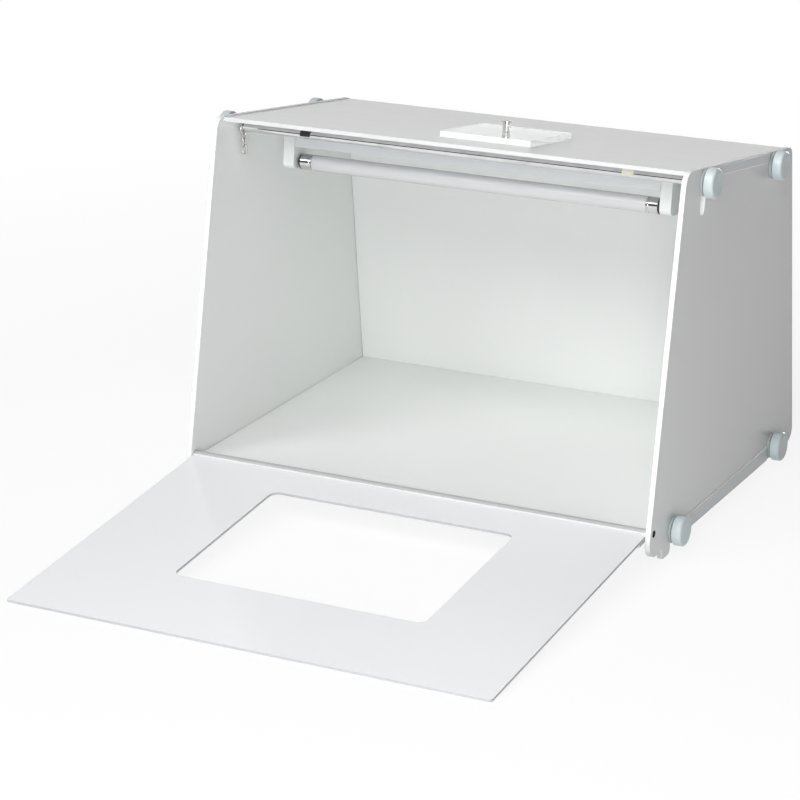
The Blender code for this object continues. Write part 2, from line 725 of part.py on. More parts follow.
def make_lamp_screw(side, strap_spot):
    """Screw through the bracket that bites into the top panel; its head is below the bracket."""
    head, shank = SCREW_HEAD_DIAMETER / 2, SCREW_SHANK_DIAMETER / 2
    tip = LAMP_WALL + 2 * GAP + SCREW_BITE
    screw = turned(f"lamp_screw_{side}", [
        (0, tip), (shank, tip), (shank, 0), (head, 0), (head, -SCREW_HEAD_HEIGHT),
        (0, -SCREW_HEAD_HEIGHT),
    ], SMALL_ROUND_STEPS)
    drop = LAMP_TOP + LAMP_WALL + GAP
    place_part(screw, STEEL, TOP_FRAME, (strap_spot[0], strap_spot[1], -drop))


def drill_top_panel():
    """Blind holes in the top panel's underside for the lamp screws."""
    panel = bpy.data.objects["top_panel"]
    solid = as_mesh_in_place(panel)
    depth = SCREW_BITE + GAP + CUT_OVERRUN
    for side, sign in SIDES:
        along = HOUSING_LENGTH / 2 - LAMP_SCREW_SETBACK
        drill = cylinder(f"drill_top_{side}", SCREW_SHANK_DIAMETER + 2 * GAP, depth)
        joined_or_cut(solid, drill, "DIFFERENCE")
        drill.parent = TOP_FRAME
        drop = TOP_UNDERSIDE - SCREW_BITE - GAP + depth / 2
        drill.location = (LAMP_OFFSET + sign * along, LAMP_MIDDLE, -drop)


def as_mesh_in_place(part):
    """Replaces a placed curve piece by the same piece as a mesh, in the same place."""
    name, frame, place = part.name, part.parent, part.location.copy()
    turn, material = part.rotation_euler.copy(), part.data.materials[0]
    PARTS.objects.unlink(part)
    part.parent = None
    part.location = (0, 0, 0)
    part.rotation_euler = (0, 0, 0)
    solid = as_mesh(part)
    solid.name = name
    return place_part(solid, material, frame, place, turn)


def make_ballast():
    bed = LAMP_BOTTOM - LAMP_WALL - GAP
    width = LAMP_WIDTH - 2 * (LAMP_WALL + BOARD_MARGIN)
    board = block("ballast_board", (BOARD_LENGTH, width, BOARD_THICKNESS))
    place_part(
        board, BOARD_GREEN, TOP_FRAME, (LAMP_OFFSET, LAMP_MIDDLE, -bed + BOARD_THICKNESS / 2)
    )
    choke = block("ballast_choke", (CHOKE_LENGTH, CHOKE_WIDTH, CHOKE_HEIGHT))
    seat = bed - BOARD_THICKNESS - GAP
    place_part(
        choke, BLACK_PLASTIC, TOP_FRAME, (LAMP_OFFSET, LAMP_MIDDLE, -seat + CHOKE_HEIGHT / 2)
    )


def holder_outline():
    half = LAMP_WIDTH / 2
    bottom = -LAMP_HEIGHT - HOLDER_DROP
    return rounded_outline([
        ((-half, 0), 0), ((-half, bottom), HOLDER_RADIUS), ((half, bottom), HOLDER_RADIUS), ((half, 0), 0)
    ])


def make_holders():
    """End holders that close the housing and carry the tube's pins in a round socket."""
    for side, sign in SIDES:
        holder = as_mesh(flat_curve(f"lamp_holder_{side}", [holder_outline()], HOLDER_LENGTH))
        across = LAMP_OFFSET + sign * HOLDER_MIDDLE
        place_part(holder, LAMP_BODY, TOP_FRAME, (across, LAMP_MIDDLE, -LAMP_TOP), ACROSS)
        inner_face = across - sign * HOLDER_LENGTH / 2
        length = SOCKET_DEPTH + CUT_OVERRUN
        socket = cylinder(f"cut_socket_{side}", SOCKET_DIAMETER, length)
        middle = inner_face + sign * (SOCKET_DEPTH - length / 2)
        cut_across(holder, socket, (middle, LAMP_MIDDLE, -TUBE_CENTRE_DROP))
    screw_hole = cylinder("cut_end_screw", END_SCREW_DIAMETER + 2 * GAP, END_SCREW_DEPTH + CUT_OVERRUN)
    outer_face = LAMP_OFFSET + LAMP_LENGTH / 2
    spot = (LAMP_SETBACK + END_SCREW_SETBACK, -LAMP_TOP - END_SCREW_DROP)
    depth = outer_face - END_SCREW_DEPTH + (END_SCREW_DEPTH + CUT_OVERRUN) / 2
    cut_across(bpy.data.objects["lamp_holder_right"], screw_hole, (depth, *spot))
    screw = cylinder("lamp_end_screw", END_SCREW_DIAMETER, END_SCREW_DEPTH - GAP + END_SCREW_PROUD)
    middle = outer_face + END_SCREW_PROUD - (END_SCREW_DEPTH - GAP + END_SCREW_PROUD) / 2
    place_part(screw, STEEL, TOP_FRAME, (middle, *spot), AXIS_RIGHT)


def cut_across(part, tool, place):
    joined_or_cut(part, tool, "DIFFERENCE")
    tool.parent = TOP_FRAME
    tool.location = place
    tool.rotation_euler = AXIS_RIGHT


def make_inlet():
    """Dark power inlet let into the outer face of the left end holder."""
    outer_face = LAMP_OFFSET - LAMP_LENGTH / 2
    half_w, half_h = INLET_WIDTH / 2, INLET_HEIGHT / 2
    place = (LAMP_MIDDLE, -LAMP_TOP - INLET_DROP)
    pocket_w, pocket_h = half_w + GAP, half_h + GAP
    pocket = as_mesh(flat_curve("cut_inlet", [
        rectangle(-pocket_w, pocket_w, -pocket_h, pocket_h, INLET_RADIUS + GAP)
    ], INLET_DEPTH + CUT_OVERRUN))
    joined_or_cut(bpy.data.objects["lamp_holder_left"], pocket, "DIFFERENCE")
    pocket.parent = TOP_FRAME
    pocket.location = (outer_face + (INLET_DEPTH - CUT_OVERRUN) / 2, *place)
    pocket.rotation_euler = ACROSS
    length = INLET_DEPTH - INLET_RECESS - GAP
    pins = [circle_points((sign * half_w / 2, 0), PIN_DIAMETER) for sign in (-1, 1)]
    body = rectangle(-half_w, half_w, -half_h, half_h, INLET_RADIUS)
    insert = flat_curve("lamp_inlet", [body] + pins, length)
    middle = outer_face + INLET_RECESS + length / 2
    place_part(insert, BLACK_PLASTIC, TOP_FRAME, (middle, *place), ACROSS)


def make_tube():
    """Open glass tube between two metal caps, each with two pins that turn in the sockets."""
    span = LAMP_LENGTH - 2 * HOLDER_LENGTH - 2 * TUBE_END_GAP
    outer = TUBE_DIAMETER / 2
    inner = outer - TUBE_WALL
    half = span / 2 - CAP_LENGTH - GAP
    tube = turned("lamp_tube", [
        (inner, half), (outer, half), (outer, -half), (inner, -half), (inner, half)
    ], TUBE_STEPS)
    centre = (LAMP_OFFSET, LAMP_MIDDLE, -TUBE_CENTRE_DROP)
    place_part(tube, TUBE_GLASS, TOP_FRAME, centre, AXIS_RIGHT)
    for side, sign in SIDES:
        end = outer - CAP_BEVEL
        cap = turned(f"tube_cap_{side}", [
            (0, CAP_LENGTH), (end, CAP_LENGTH), (outer, CAP_LENGTH - CAP_BEVEL), (outer, 0), (0, 0)
        ], TUBE_STEPS)
        across = LAMP_OFFSET + sign * (span / 2 - CAP_LENGTH)
        turn = AXIS_RIGHT if sign > 0 else AXIS_LEFT
        place_part(cap, BRIGHT_METAL, TOP_FRAME, (across, centre[1], centre[2]), turn)
        for index in (-1, 1):
            length = PIN_LENGTH + CUT_OVERRUN
            pin = cylinder(f"pin_{side}_{'a' if index < 0 else 'b'}", PIN_DIAMETER, length)
            joined_or_cut(cap, pin, "UNION")
            pin.parent = cap
            pin.location = (0, index * PIN_SPACING / 2, CAP_LENGTH + PIN_LENGTH - length / 2)


def make_cover_plate():
    half = PLATE_SIZE / 2
    outline = rectangle(-half, half, -half, half, PLATE_RADIUS)
    hole = circle_points((0, 0), THUMB_HOLE_DIAMETER)
    plate = flat_curve("cover_plate", [outline, hole], PLATE_THICKNESS)
    bottom = -TOP_RECESS + GAP
    centre = (PLATE_OFFSET, PLATE_SETBACK)
    place_part(plate, CLEAR_ACRYLIC, TOP_FRAME, (*centre, bottom + PLATE_THICKNESS / 2))
    seat = bottom + PLATE_THICKNESS + GAP
    body, head = THUMB_BODY_DIAMETER / 2, THUMB_HEAD_DIAMETER / 2
    shank = THUMB_SHANK_DIAMETER / 2
    top = THUMB_BODY_HEIGHT + THUMB_HEAD_HEIGHT
    nut_drop = TOP_UNDERSIDE + GAP
    tail = seat + nut_drop + NUT_HEIGHT + NUT_TAIL
    screw = turned("thumb_screw", [
        (0, top), (head - THUMB_BEVEL, top), (head, top - THUMB_BEVEL), (head, THUMB_BODY_HEIGHT),
        (body, THUMB_BODY_HEIGHT), (body, 0), (shank, 0), (shank, -tail), (0, -tail),
    ])
    place_part(screw, BRIGHT_METAL, TOP_FRAME, (*centre, seat))
    nut_radius = NUT_WIDTH / math.sqrt(3)
    outline = arc_points((0, 0), nut_radius, 0, 2 * math.pi, 6)[:-1]
    nut = flat_curve("thumb_screw_nut", [outline, hole], NUT_HEIGHT)
    place_part(nut, STEEL, TOP_FRAME, (*centre, -nut_drop - NUT_HEIGHT / 2))


def clip_outline(middle_angle):
    """C-shaped section that snaps over the rod, open on the side away from middle_angle."""
    inner = ROD_DIAMETER / 2 + GAP
    outer = inner + CLIP_WALL
    reach = math.pi - CLIP_OPENING / 2
    start, end = middle_angle - reach, middle_angle + reach
    return (
        arc_points((0, 0), outer, start, end, SMALL_ROUND_STEPS)
        + arc_points((0, 0), inner, end, start, SMALL_ROUND_STEPS)
    )


def make_clips():
    """Two snap clips pushed onto the top front rod; each opens down and to the front."""
    place = TOP_FRONT_ROD
    black = flat_curve("black_clip", [clip_outline(CLIP_TURN)], BLACK_CLIP_LENGTH)
    place_part(
        black, BLACK_PLASTIC, BASE_FRAME, (-BLACK_CLIP_PLACE, place.x, place.y), ACROSS
    )
    white = flat_curve("white_clip", [clip_outline(CLIP_TURN)], WHITE_CLIP_LENGTH)
    place_part(
        white, CREAM_PLASTIC, BASE_FRAME, (WHITE_CLIP_PLACE, place.x, place.y), ACROSS
    )


def link_points(length, width, across):
    """Centre line of an upright oval link, seen along Y, or along X where across is set."""
    radius = width / 2
    reach = (length - width) / 2
    upper = arc_points((0, reach), radius, 0, math.pi, SMALL_ROUND_STEPS // 2)
    lower = arc_points((0, -reach), radius, math.pi, 2 * math.pi, SMALL_ROUND_STEPS // 2)
    flat = upper + lower
    return [(0, p.x, p.y) if across else (p.x, 0, p.y) for p in flat]


def make_chain():
    """A ring hung on the rod beside its left collar and three links below it, in alternation."""
    across = -(INNER_HALF - COLLAR_LENGTH - CHAIN_WIRE / 2 - 3 * GAP)
    ring_centre_line = RING_DIAMETER - CHAIN_WIRE
    ring_drop = (ring_centre_line - CHAIN_WIRE - ROD_DIAMETER) / 2 - GAP
    ring_height = TOP_FRONT_ROD.y - ring_drop
    points = [(0, p.x, p.y) for p in circle_points((0, 0), ring_centre_line)]
    ring = wire_loop("chain_ring", points, CHAIN_WIRE)
    place_part(ring, BRIGHT_METAL, BASE_FRAME, (across, TOP_FRONT_ROD.x, ring_height))
    height = ring_height - ring_centre_line / 2
    centre_length = LINK_LENGTH - CHAIN_WIRE
    centre_width = LINK_WIDTH - CHAIN_WIRE
    for number in (1, 2, 3):
        height += CHAIN_WIRE + GAP - centre_length / 2
        turned_across = number == 2
        link = wire_loop(
            f"chain_link_{number}", link_points(centre_length, centre_width, turned_across), CHAIN_WIRE
        )
        place_part(link, BRIGHT_METAL, BASE_FRAME, (across, TOP_FRONT_ROD.x, height))
        height -= centre_length / 2


def make_rear_feet():
    height = FLOOR_BOTTOM - GAP
    radius = REAR_FOOT_DIAMETER / 2
    rear = REAR_BASE.x - REAR_FOOT_SETBACK - radius
    for side, sign in SIDES:
        foot = turned(f"rear_foot_{side}", [
            (0, height), (radius, height), (radius, REAR_FOOT_CHAMFER),
            (radius - REAR_FOOT_CHAMFER, 0), (0, 0),
        ])
        place_part(foot, FOOT_RUBBER, BASE_FRAME, (sign * REAR_FOOT_SPACING / 2, rear, 0))


make_side_panels()
make_top_panel()
make_back_and_floor()
make_strips()
make_rods()
make_knobs()
make_flap()
make_lamp_housing()
drill_top_panel()
make_ballast()
make_holders()
make_inlet()
make_tube()
make_cover_plate()
make_clips()
make_chain()
make_rear_feet()
bpy.context.view_layer.update()
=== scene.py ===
import math

import bpy
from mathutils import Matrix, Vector


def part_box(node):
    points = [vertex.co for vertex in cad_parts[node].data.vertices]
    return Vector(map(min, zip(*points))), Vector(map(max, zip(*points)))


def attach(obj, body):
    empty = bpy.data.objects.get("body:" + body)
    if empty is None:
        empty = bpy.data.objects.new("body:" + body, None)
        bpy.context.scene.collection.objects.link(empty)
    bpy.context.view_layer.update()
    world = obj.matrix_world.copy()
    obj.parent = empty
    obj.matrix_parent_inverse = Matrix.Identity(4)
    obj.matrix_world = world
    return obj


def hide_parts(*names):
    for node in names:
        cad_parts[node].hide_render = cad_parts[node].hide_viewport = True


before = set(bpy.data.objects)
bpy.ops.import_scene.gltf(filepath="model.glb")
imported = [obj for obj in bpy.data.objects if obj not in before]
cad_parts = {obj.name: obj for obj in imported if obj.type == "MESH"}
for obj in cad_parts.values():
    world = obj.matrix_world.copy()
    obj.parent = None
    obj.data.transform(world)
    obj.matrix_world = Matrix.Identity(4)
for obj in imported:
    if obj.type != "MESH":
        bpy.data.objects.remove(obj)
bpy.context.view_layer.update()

# Camera
# A long lens from the front right and a little above, square to nothing on the box, so that the
# inside, the right outer face and the flap on the table all show.

CAMERA_PLACE = (1.2443, -2.4355, 1.0688)
CAMERA_TURN = (70.9194, 0.4442, 27.3264)
CAMERA_LENS = 135.34
SENSOR_WIDTH = 36.0
SIGHT_REACH = 50.0

bpy.ops.object.camera_add(location=CAMERA_PLACE, rotation=[math.radians(a) for a in CAMERA_TURN])
camera = bpy.context.object
camera.name = "photo_camera"
camera.data.lens = CAMERA_LENS
camera.data.sensor_width = SENSOR_WIDTH
camera.data.clip_end = SIGHT_REACH
bpy.context.scene.camera = camera
bpy.context.scene.view_settings.view_transform = "Standard"

# Studio
# A pale sweep of floor under a white surround. Two soft lamps stand close in front of the box, one
# high and one low at the right, with a broad one high at the left, a weak one overhead and a low
# one behind. A dark wall stands far off at the front left, and bright metal shows it as a band.

FLOOR_SPAN = 90.0
FLOOR_SINK = 0.0004
FLOOR_COLOUR = (0.93, 0.93, 0.93, 1.0)
FLOOR_OWN_LIGHT = 0.87
FLOOR_NEAR = 0.6
FLOOR_FAR = 1.5
SURROUND_COLOUR = (1.0, 1.0, 1.0, 1.0)
AMBIENT_LEVEL = 0.08
MIRRORED_LEVEL = 0.8
LAMPS = (
    ("high_front_lamp", (0.1, -1.6, 1.9), 1.4, 30.2),
    ("low_right_lamp", (0.7, -1.6, 0.45), 0.7, 14.0),
    ("left_lamp", (-3.0, -3.6, 4.2), 2.6, 132.0),
    ("top_lamp", (0.0, 0.0, 3.4), 2.4, 2.4),
    ("rear_lamp", (0.0, 2.9, 0.30), 0.6, 19.0),
)
LAMP_TARGET = Vector((0.0, 0.0, 0.15))
DARK_WALL_PLACE = (-3.2, -7.0, 2.6)
DARK_WALL_SPAN = (7.5, 4.4)
DARK_WALL_COLOUR = (0.03, 0.03, 0.03, 1.0)
DARK_WALL_ROUGHNESS = 0.9


def studio_lamp(name, place, size, power):
    """A square soft lamp that looks at the middle of the box."""
    aim = (LAMP_TARGET - Vector(place)).to_track_quat("-Z", "Y").to_euler()
    bpy.ops.object.light_add(type="AREA", location=place, rotation=aim)
    lamp = bpy.context.object
    lamp.name = name
    lamp.data.size = size
    lamp.data.energy = power


for name, place, size, power in LAMPS:
    studio_lamp(name, place, size, power)


def seen_directly(tree):
    """1 for a ray of the camera, of a reflection or through glass, 0 for a ray that lights."""
    path = tree.nodes.new("ShaderNodeLightPath")
    total = path.outputs["Is Camera Ray"]
    for name in ("Is Glossy Ray", "Is Transmission Ray"):
        larger = tree.nodes.new("ShaderNodeMath")
        larger.operation = "MAXIMUM"
        tree.links.new(total, larger.inputs[0])
        tree.links.new(path.outputs[name], larger.inputs[1])
        total = larger.outputs[0]
    return total


surround = bpy.data.worlds.new("white_surround")
surround.use_nodes = True
bpy.context.scene.world = surround
tree = surround.node_tree
tree.nodes.clear()
level = tree.nodes.new("ShaderNodeMapRange")
level.inputs["To Min"].default_value = AMBIENT_LEVEL
level.inputs["To Max"].default_value = MIRRORED_LEVEL
path = tree.nodes.new("ShaderNodeLightPath")
strength = tree.nodes.new("ShaderNodeMath")
strength.operation = "MAXIMUM"
background = tree.nodes.new("ShaderNodeBackground")
background.inputs["Color"].default_value = SURROUND_COLOUR
world_out = tree.nodes.new("ShaderNodeOutputWorld")
tree.links.new(seen_directly(tree), level.inputs["Value"])
tree.links.new(level.outputs["Result"], strength.inputs[0])
tree.links.new(path.outputs["Is Camera Ray"], strength.inputs[1])
tree.links.new(strength.outputs[0], background.inputs["Strength"])
tree.links.new(background.outputs["Background"], world_out.inputs["Surface"])

bpy.ops.object.select_all(action="DESELECT")
bpy.ops.mesh.primitive_plane_add(size=FLOOR_SPAN, location=(0, 0, -FLOOR_SINK))
floor = bpy.context.object
floor.name = "studio_floor"
floor_material = bpy.data.materials.new("studio_floor")
floor_material.use_nodes = True
tree = floor_material.node_tree
tree.nodes.clear()
paint = tree.nodes.new("ShaderNodeBsdfDiffuse")
paint.inputs["Color"].default_value = FLOOR_COLOUR
glow = tree.nodes.new("ShaderNodeEmission")
share = tree.nodes.new("ShaderNodeMath")
share.operation = "MULTIPLY"
place = tree.nodes.new("ShaderNodeTexCoord")
distance = tree.nodes.new("ShaderNodeVectorMath")
distance.operation = "LENGTH"
own_light = tree.nodes.new("ShaderNodeMapRange")
own_light.inputs["From Min"].default_value = FLOOR_NEAR
own_light.inputs["From Max"].default_value = FLOOR_FAR
own_light.inputs["To Min"].default_value = FLOOR_OWN_LIGHT
own_light.inputs["To Max"].default_value = 1.0
mixed = tree.nodes.new("ShaderNodeMixShader")
floor_out = tree.nodes.new("ShaderNodeOutputMaterial")
tree.links.new(place.outputs["Object"], distance.inputs[0])
tree.links.new(distance.outputs["Value"], own_light.inputs["Value"])
tree.links.new(seen_directly(tree), share.inputs[0])
tree.links.new(own_light.outputs["Result"], share.inputs[1])
tree.links.new(share.outputs[0], mixed.inputs["Fac"])
tree.links.new(paint.outputs["BSDF"], mixed.inputs[1])
tree.links.new(glow.outputs["Emission"], mixed.inputs[2])
tree.links.new(mixed.outputs["Shader"], floor_out.inputs["Surface"])
floor.data.materials.append(floor_material)

bpy.ops.object.select_all(action="DESELECT")
bpy.ops.mesh.primitive_plane_add(size=1.0, location=DARK_WALL_PLACE, rotation=(math.pi / 2, 0, 0))
dark_wall = bpy.context.object
dark_wall.name = "studio_dark_wall"
bpy.ops.transform.resize(value=(DARK_WALL_SPAN[0], 1.0, DARK_WALL_SPAN[1]))
dark_wall.visible_camera = False
wall_material = bpy.data.materials.new("studio_dark_wall")
wall_material.use_nodes = True
wall_shader = wall_material.node_tree.nodes["Principled BSDF"]
wall_shader.inputs["Base Color"].default_value = DARK_WALL_COLOUR
wall_shader.inputs["Roughness"].default_value = DARK_WALL_ROUGHNESS
dark_wall.data.materials.append(wall_material)

# White sheet: side panels, top, back and floor
# Cut from glossy white foamed plastic sheet, 5 mm for the sides and 4 mm for the rest. The sawn
# edges are matt and whiter than the faces, and each has a small round that catches the light.

SHEET_COLOUR = (0.82, 0.835, 0.825, 1.0)
SHEET_SHADE = (0.80, 0.815, 0.805, 1.0)
SHEET_GLOSS = 0.22
SAWN_COLOUR = (0.80, 0.81, 0.805, 1.0)
SAWN_SHADE = (0.77, 0.78, 0.775, 1.0)
# Painted light: the cable slot's walls and the side panels' upward top edges are painted near
# white, brighter than the sawn edges, for the light on them.
SLOT_AND_TOP_EDGE_PAINTED_LIGHT = (0.95, 0.95, 0.95, 1.0)
SLOT_ALONG = 0.1005
SLOT_UP = 0.2917
SLOT_REACH = 0.0085
# Painted shade: the top panel's sawn edges are painted grey, darker than the other sawn edges, so
# that its lit front edge reads dim.
TOP_EDGE_PAINTED_SHADE = (0.66, 0.67, 0.675, 1.0)
TOP_EDGE_PAINTED_SHADE_PATCH = (0.62, 0.63, 0.635, 1.0)
# Painted shade: the walls of the hinge holes in the side panels are painted black for the dark
# inside the holes.
HINGE_HOLE_PAINTED_SHADE = (0.012, 0.012, 0.012, 1.0)
HINGE_HOLE_SHADE_REACH = 0.0042
SAWN_GLOSS = 0.55
SIDE_EDGE_ROUND = 0.0005
PANEL_EDGE_ROUND = 0.0008
PLAIN_STEPS = 2
FINE_STEPS = 3
MERGE_DISTANCE = 0.00001
FLAT_ANGLE = math.radians(0.6)
EDGE_ANGLE = math.radians(40)
TOP_END = 0.24
TOP_SIDE_REACH = 0.0011
MIX_FIRST, MIX_SECOND, MIX_RESULT = 6, 7, 2
TONE_DETAIL = 4.0
TONE_ROUGHNESS = 0.55
WIPE_STRETCH = (1.0, 1.0, 14.0)
WIPE_SCALE = 26.0
WIPE_DETAIL = 6.0
GRAIN_DETAIL = 3.0
RUB_SAMPLES = 4
RUB_STARTS = 0.99
RUB_FULL = 0.86
RUB_BREAK_SCALE = 60.0
RUB_BREAK_DETAIL = 4.0
RUB_BREAK_FROM = 0.25
RUB_BREAK_TO = 0.60
COAT_ROUGHNESS = 0.06
FACE_SHARE = 0.45
TOP_SHARE = 0.7
SQUARE_SHARE = 0.99
HINGE_HOLE_SHADE_FINISH = 2
PAINTED_LIGHT_FINISH = 3
TOP_SLOPE = math.radians(8.1)
BACK_LEAN = math.radians(5.583)
TOP_NORMAL = Vector((0, math.sin(TOP_SLOPE), math.cos(TOP_SLOPE)))
BACK_NORMAL = Vector((0, math.cos(BACK_LEAN), math.sin(BACK_LEAN)))


def only_select(piece):
    bpy.ops.object.select_all(action="DESELECT")
    piece.select_set(True)
    bpy.context.view_layer.objects.active = piece


def eased_edges(piece, width, steps=PLAIN_STEPS):
    """Breaks every sharp edge by the given width and keeps the large faces flat in shading."""
    only_select(piece)
    bevel = piece.modifiers.new("broken_edges", "BEVEL")
    bevel.width = width
    bevel.segments = steps
    bevel.limit_method = "ANGLE"
    bevel.angle_limit = EDGE_ANGLE
    bevel.use_clamp_overlap = True
    bpy.ops.object.modifier_apply(modifier=bevel.name)
    bpy.ops.object.shade_smooth_by_angle(angle=EDGE_ANGLE)
    even = piece.modifiers.new("flat_faces", "WEIGHTED_NORMAL")
    even.keep_sharp = True
    bpy.ops.object.modifier_apply(modifier=even.name)


def cut_from_solid(node, name, edge_round, steps=PLAIN_STEPS):
    """A merged copy of the CAD solid, with its edges broken."""
    piece = bpy.data.objects.new(name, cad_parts[node].data.copy())
    bpy.context.scene.collection.objects.link(piece)
    piece.data.materials.clear()
    only_select(piece)
    bpy.ops.object.mode_set(mode="EDIT")
    bpy.ops.mesh.select_all(action="SELECT")
    bpy.ops.mesh.remove_doubles(threshold=MERGE_DISTANCE)
    bpy.ops.mesh.dissolve_limited(angle_limit=FLAT_ANGLE)
    bpy.ops.object.mode_set(mode="OBJECT")
    eased_edges(piece, edge_round, steps)
    return piece


def fixed_to(piece, body, slot, material, *nodes):
    """Gives the piece its material and its place in the assembly."""
    piece.data.materials.clear()
    piece.data.materials.append(material)
    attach(piece, body)
    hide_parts(*nodes)


def group_socket(group, name, way, kind, value=None):
    socket = group.interface.new_socket(name=name, in_out=way, socket_type=kind)
    if value is not None:
        socket.default_value = value
    return socket


def build_plastic_skin():
    """Node group: faint patches of tone, uneven polish and the ripple of a rolled surface."""
    group = bpy.data.node_groups.new("plastic_skin", "ShaderNodeTree")
    group_socket(group, "Colour", "INPUT", "NodeSocketColor")
    group_socket(group, "Shade", "INPUT", "NodeSocketColor")
    group_socket(group, "Patch Scale", "INPUT", "NodeSocketFloat", 8.0)
    group_socket(group, "Roughness", "INPUT", "NodeSocketFloat", 0.2)
    group_socket(group, "Roughness Spread", "INPUT", "NodeSocketFloat", 0.1)
    group_socket(group, "Grain Scale", "INPUT", "NodeSocketFloat", 400.0)
    group_socket(group, "Colour", "OUTPUT", "NodeSocketColor")
    group_socket(group, "Roughness", "OUTPUT", "NodeSocketFloat")
    group_socket(group, "Height", "OUTPUT", "NodeSocketFloat")
    nodes, links = group.nodes, group.links
    given = nodes.new("NodeGroupInput")
    out = nodes.new("NodeGroupOutput")
    place = nodes.new("ShaderNodeTexCoord")
    patches = nodes.new("ShaderNodeTexNoise")
    patches.inputs["Detail"].default_value = TONE_DETAIL
    patches.inputs["Roughness"].default_value = TONE_ROUGHNESS
    tone = nodes.new("ShaderNodeMix")
    tone.data_type = "RGBA"
    stretch = nodes.new("ShaderNodeMapping")
    stretch.inputs["Scale"].default_value = WIPE_STRETCH
    wipe = nodes.new("ShaderNodeTexNoise")
    wipe.inputs["Scale"].default_value = WIPE_SCALE
    wipe.inputs["Detail"].default_value = WIPE_DETAIL
    spread = nodes.new("ShaderNodeMath")
    spread.operation = "MULTIPLY_ADD"
    grain = nodes.new("ShaderNodeTexNoise")
    grain.inputs["Detail"].default_value = GRAIN_DETAIL
    links.new(place.outputs["Object"], patches.inputs["Vector"])
    links.new(given.outputs["Patch Scale"], patches.inputs["Scale"])
    links.new(patches.outputs["Fac"], tone.inputs[0])
    links.new(given.outputs["Colour"], tone.inputs[MIX_FIRST])
    links.new(given.outputs["Shade"], tone.inputs[MIX_SECOND])
    links.new(place.outputs["Object"], stretch.inputs["Vector"])
    links.new(stretch.outputs["Vector"], wipe.inputs["Vector"])
    links.new(wipe.outputs["Fac"], spread.inputs[0])
    links.new(given.outputs["Roughness Spread"], spread.inputs[1])
    links.new(given.outputs["Roughness"], spread.inputs[2])
    links.new(place.outputs["Object"], grain.inputs["Vector"])
    links.new(given.outputs["Grain Scale"], grain.inputs["Scale"])
    links.new(tone.outputs[MIX_RESULT], out.inputs["Colour"])
    links.new(spread.outputs[0], out.inputs["Roughness"])
    links.new(grain.outputs["Fac"], out.inputs["Height"])
    return group


# The edge mask is for rub wear, and on the front flap it carries painted shade.
def build_edge_wear_and_shade():
    """Node group: a mask of the edges and corners that hands and cloths rub."""
    group = bpy.data.node_groups.new("edge_wear_and_shade", "ShaderNodeTree")
    group_socket(group, "Reach", "INPUT", "NodeSocketFloat", 0.0008)
    group_socket(group, "Mask", "OUTPUT", "NodeSocketFloat")
    nodes, links = group.nodes, group.links
    given = nodes.new("NodeGroupInput")
    out = nodes.new("NodeGroupOutput")
    rounded = nodes.new("ShaderNodeBevel")
    rounded.samples = RUB_SAMPLES
    face = nodes.new("ShaderNodeNewGeometry")
    agree = nodes.new("ShaderNodeVectorMath")
    agree.operation = "DOT_PRODUCT"
    worn = nodes.new("ShaderNodeMapRange")
    worn.inputs["From Min"].default_value = RUB_STARTS
    worn.inputs["From Max"].default_value = RUB_FULL
    place = nodes.new("ShaderNodeTexCoord")
    breaks = nodes.new("ShaderNodeTexNoise")
    breaks.inputs["Scale"].default_value = RUB_BREAK_SCALE
    breaks.inputs["Detail"].default_value = RUB_BREAK_DETAIL
    uneven = nodes.new("ShaderNodeMapRange")
    uneven.inputs["From Min"].default_value = RUB_BREAK_FROM
    uneven.inputs["From Max"].default_value = RUB_BREAK_TO
    mask = nodes.new("ShaderNodeMath")
    mask.operation = "MULTIPLY"
    links.new(given.outputs["Reach"], rounded.inputs["Radius"])
    links.new(rounded.outputs["Normal"], agree.inputs[0])
    links.new(face.outputs["Normal"], agree.inputs[1])
    links.new(agree.outputs["Value"], worn.inputs["Value"])
    links.new(place.outputs["Object"], breaks.inputs["Vector"])
    links.new(breaks.outputs["Fac"], uneven.inputs["Value"])
    links.new(worn.outputs["Result"], mask.inputs[0])
    links.new(uneven.outputs["Result"], mask.inputs[1])
    links.new(mask.outputs[0], out.inputs["Mask"])
    return group


PLASTIC_SKIN = build_plastic_skin()
EDGE_WEAR_AND_SHADE = build_edge_wear_and_shade()


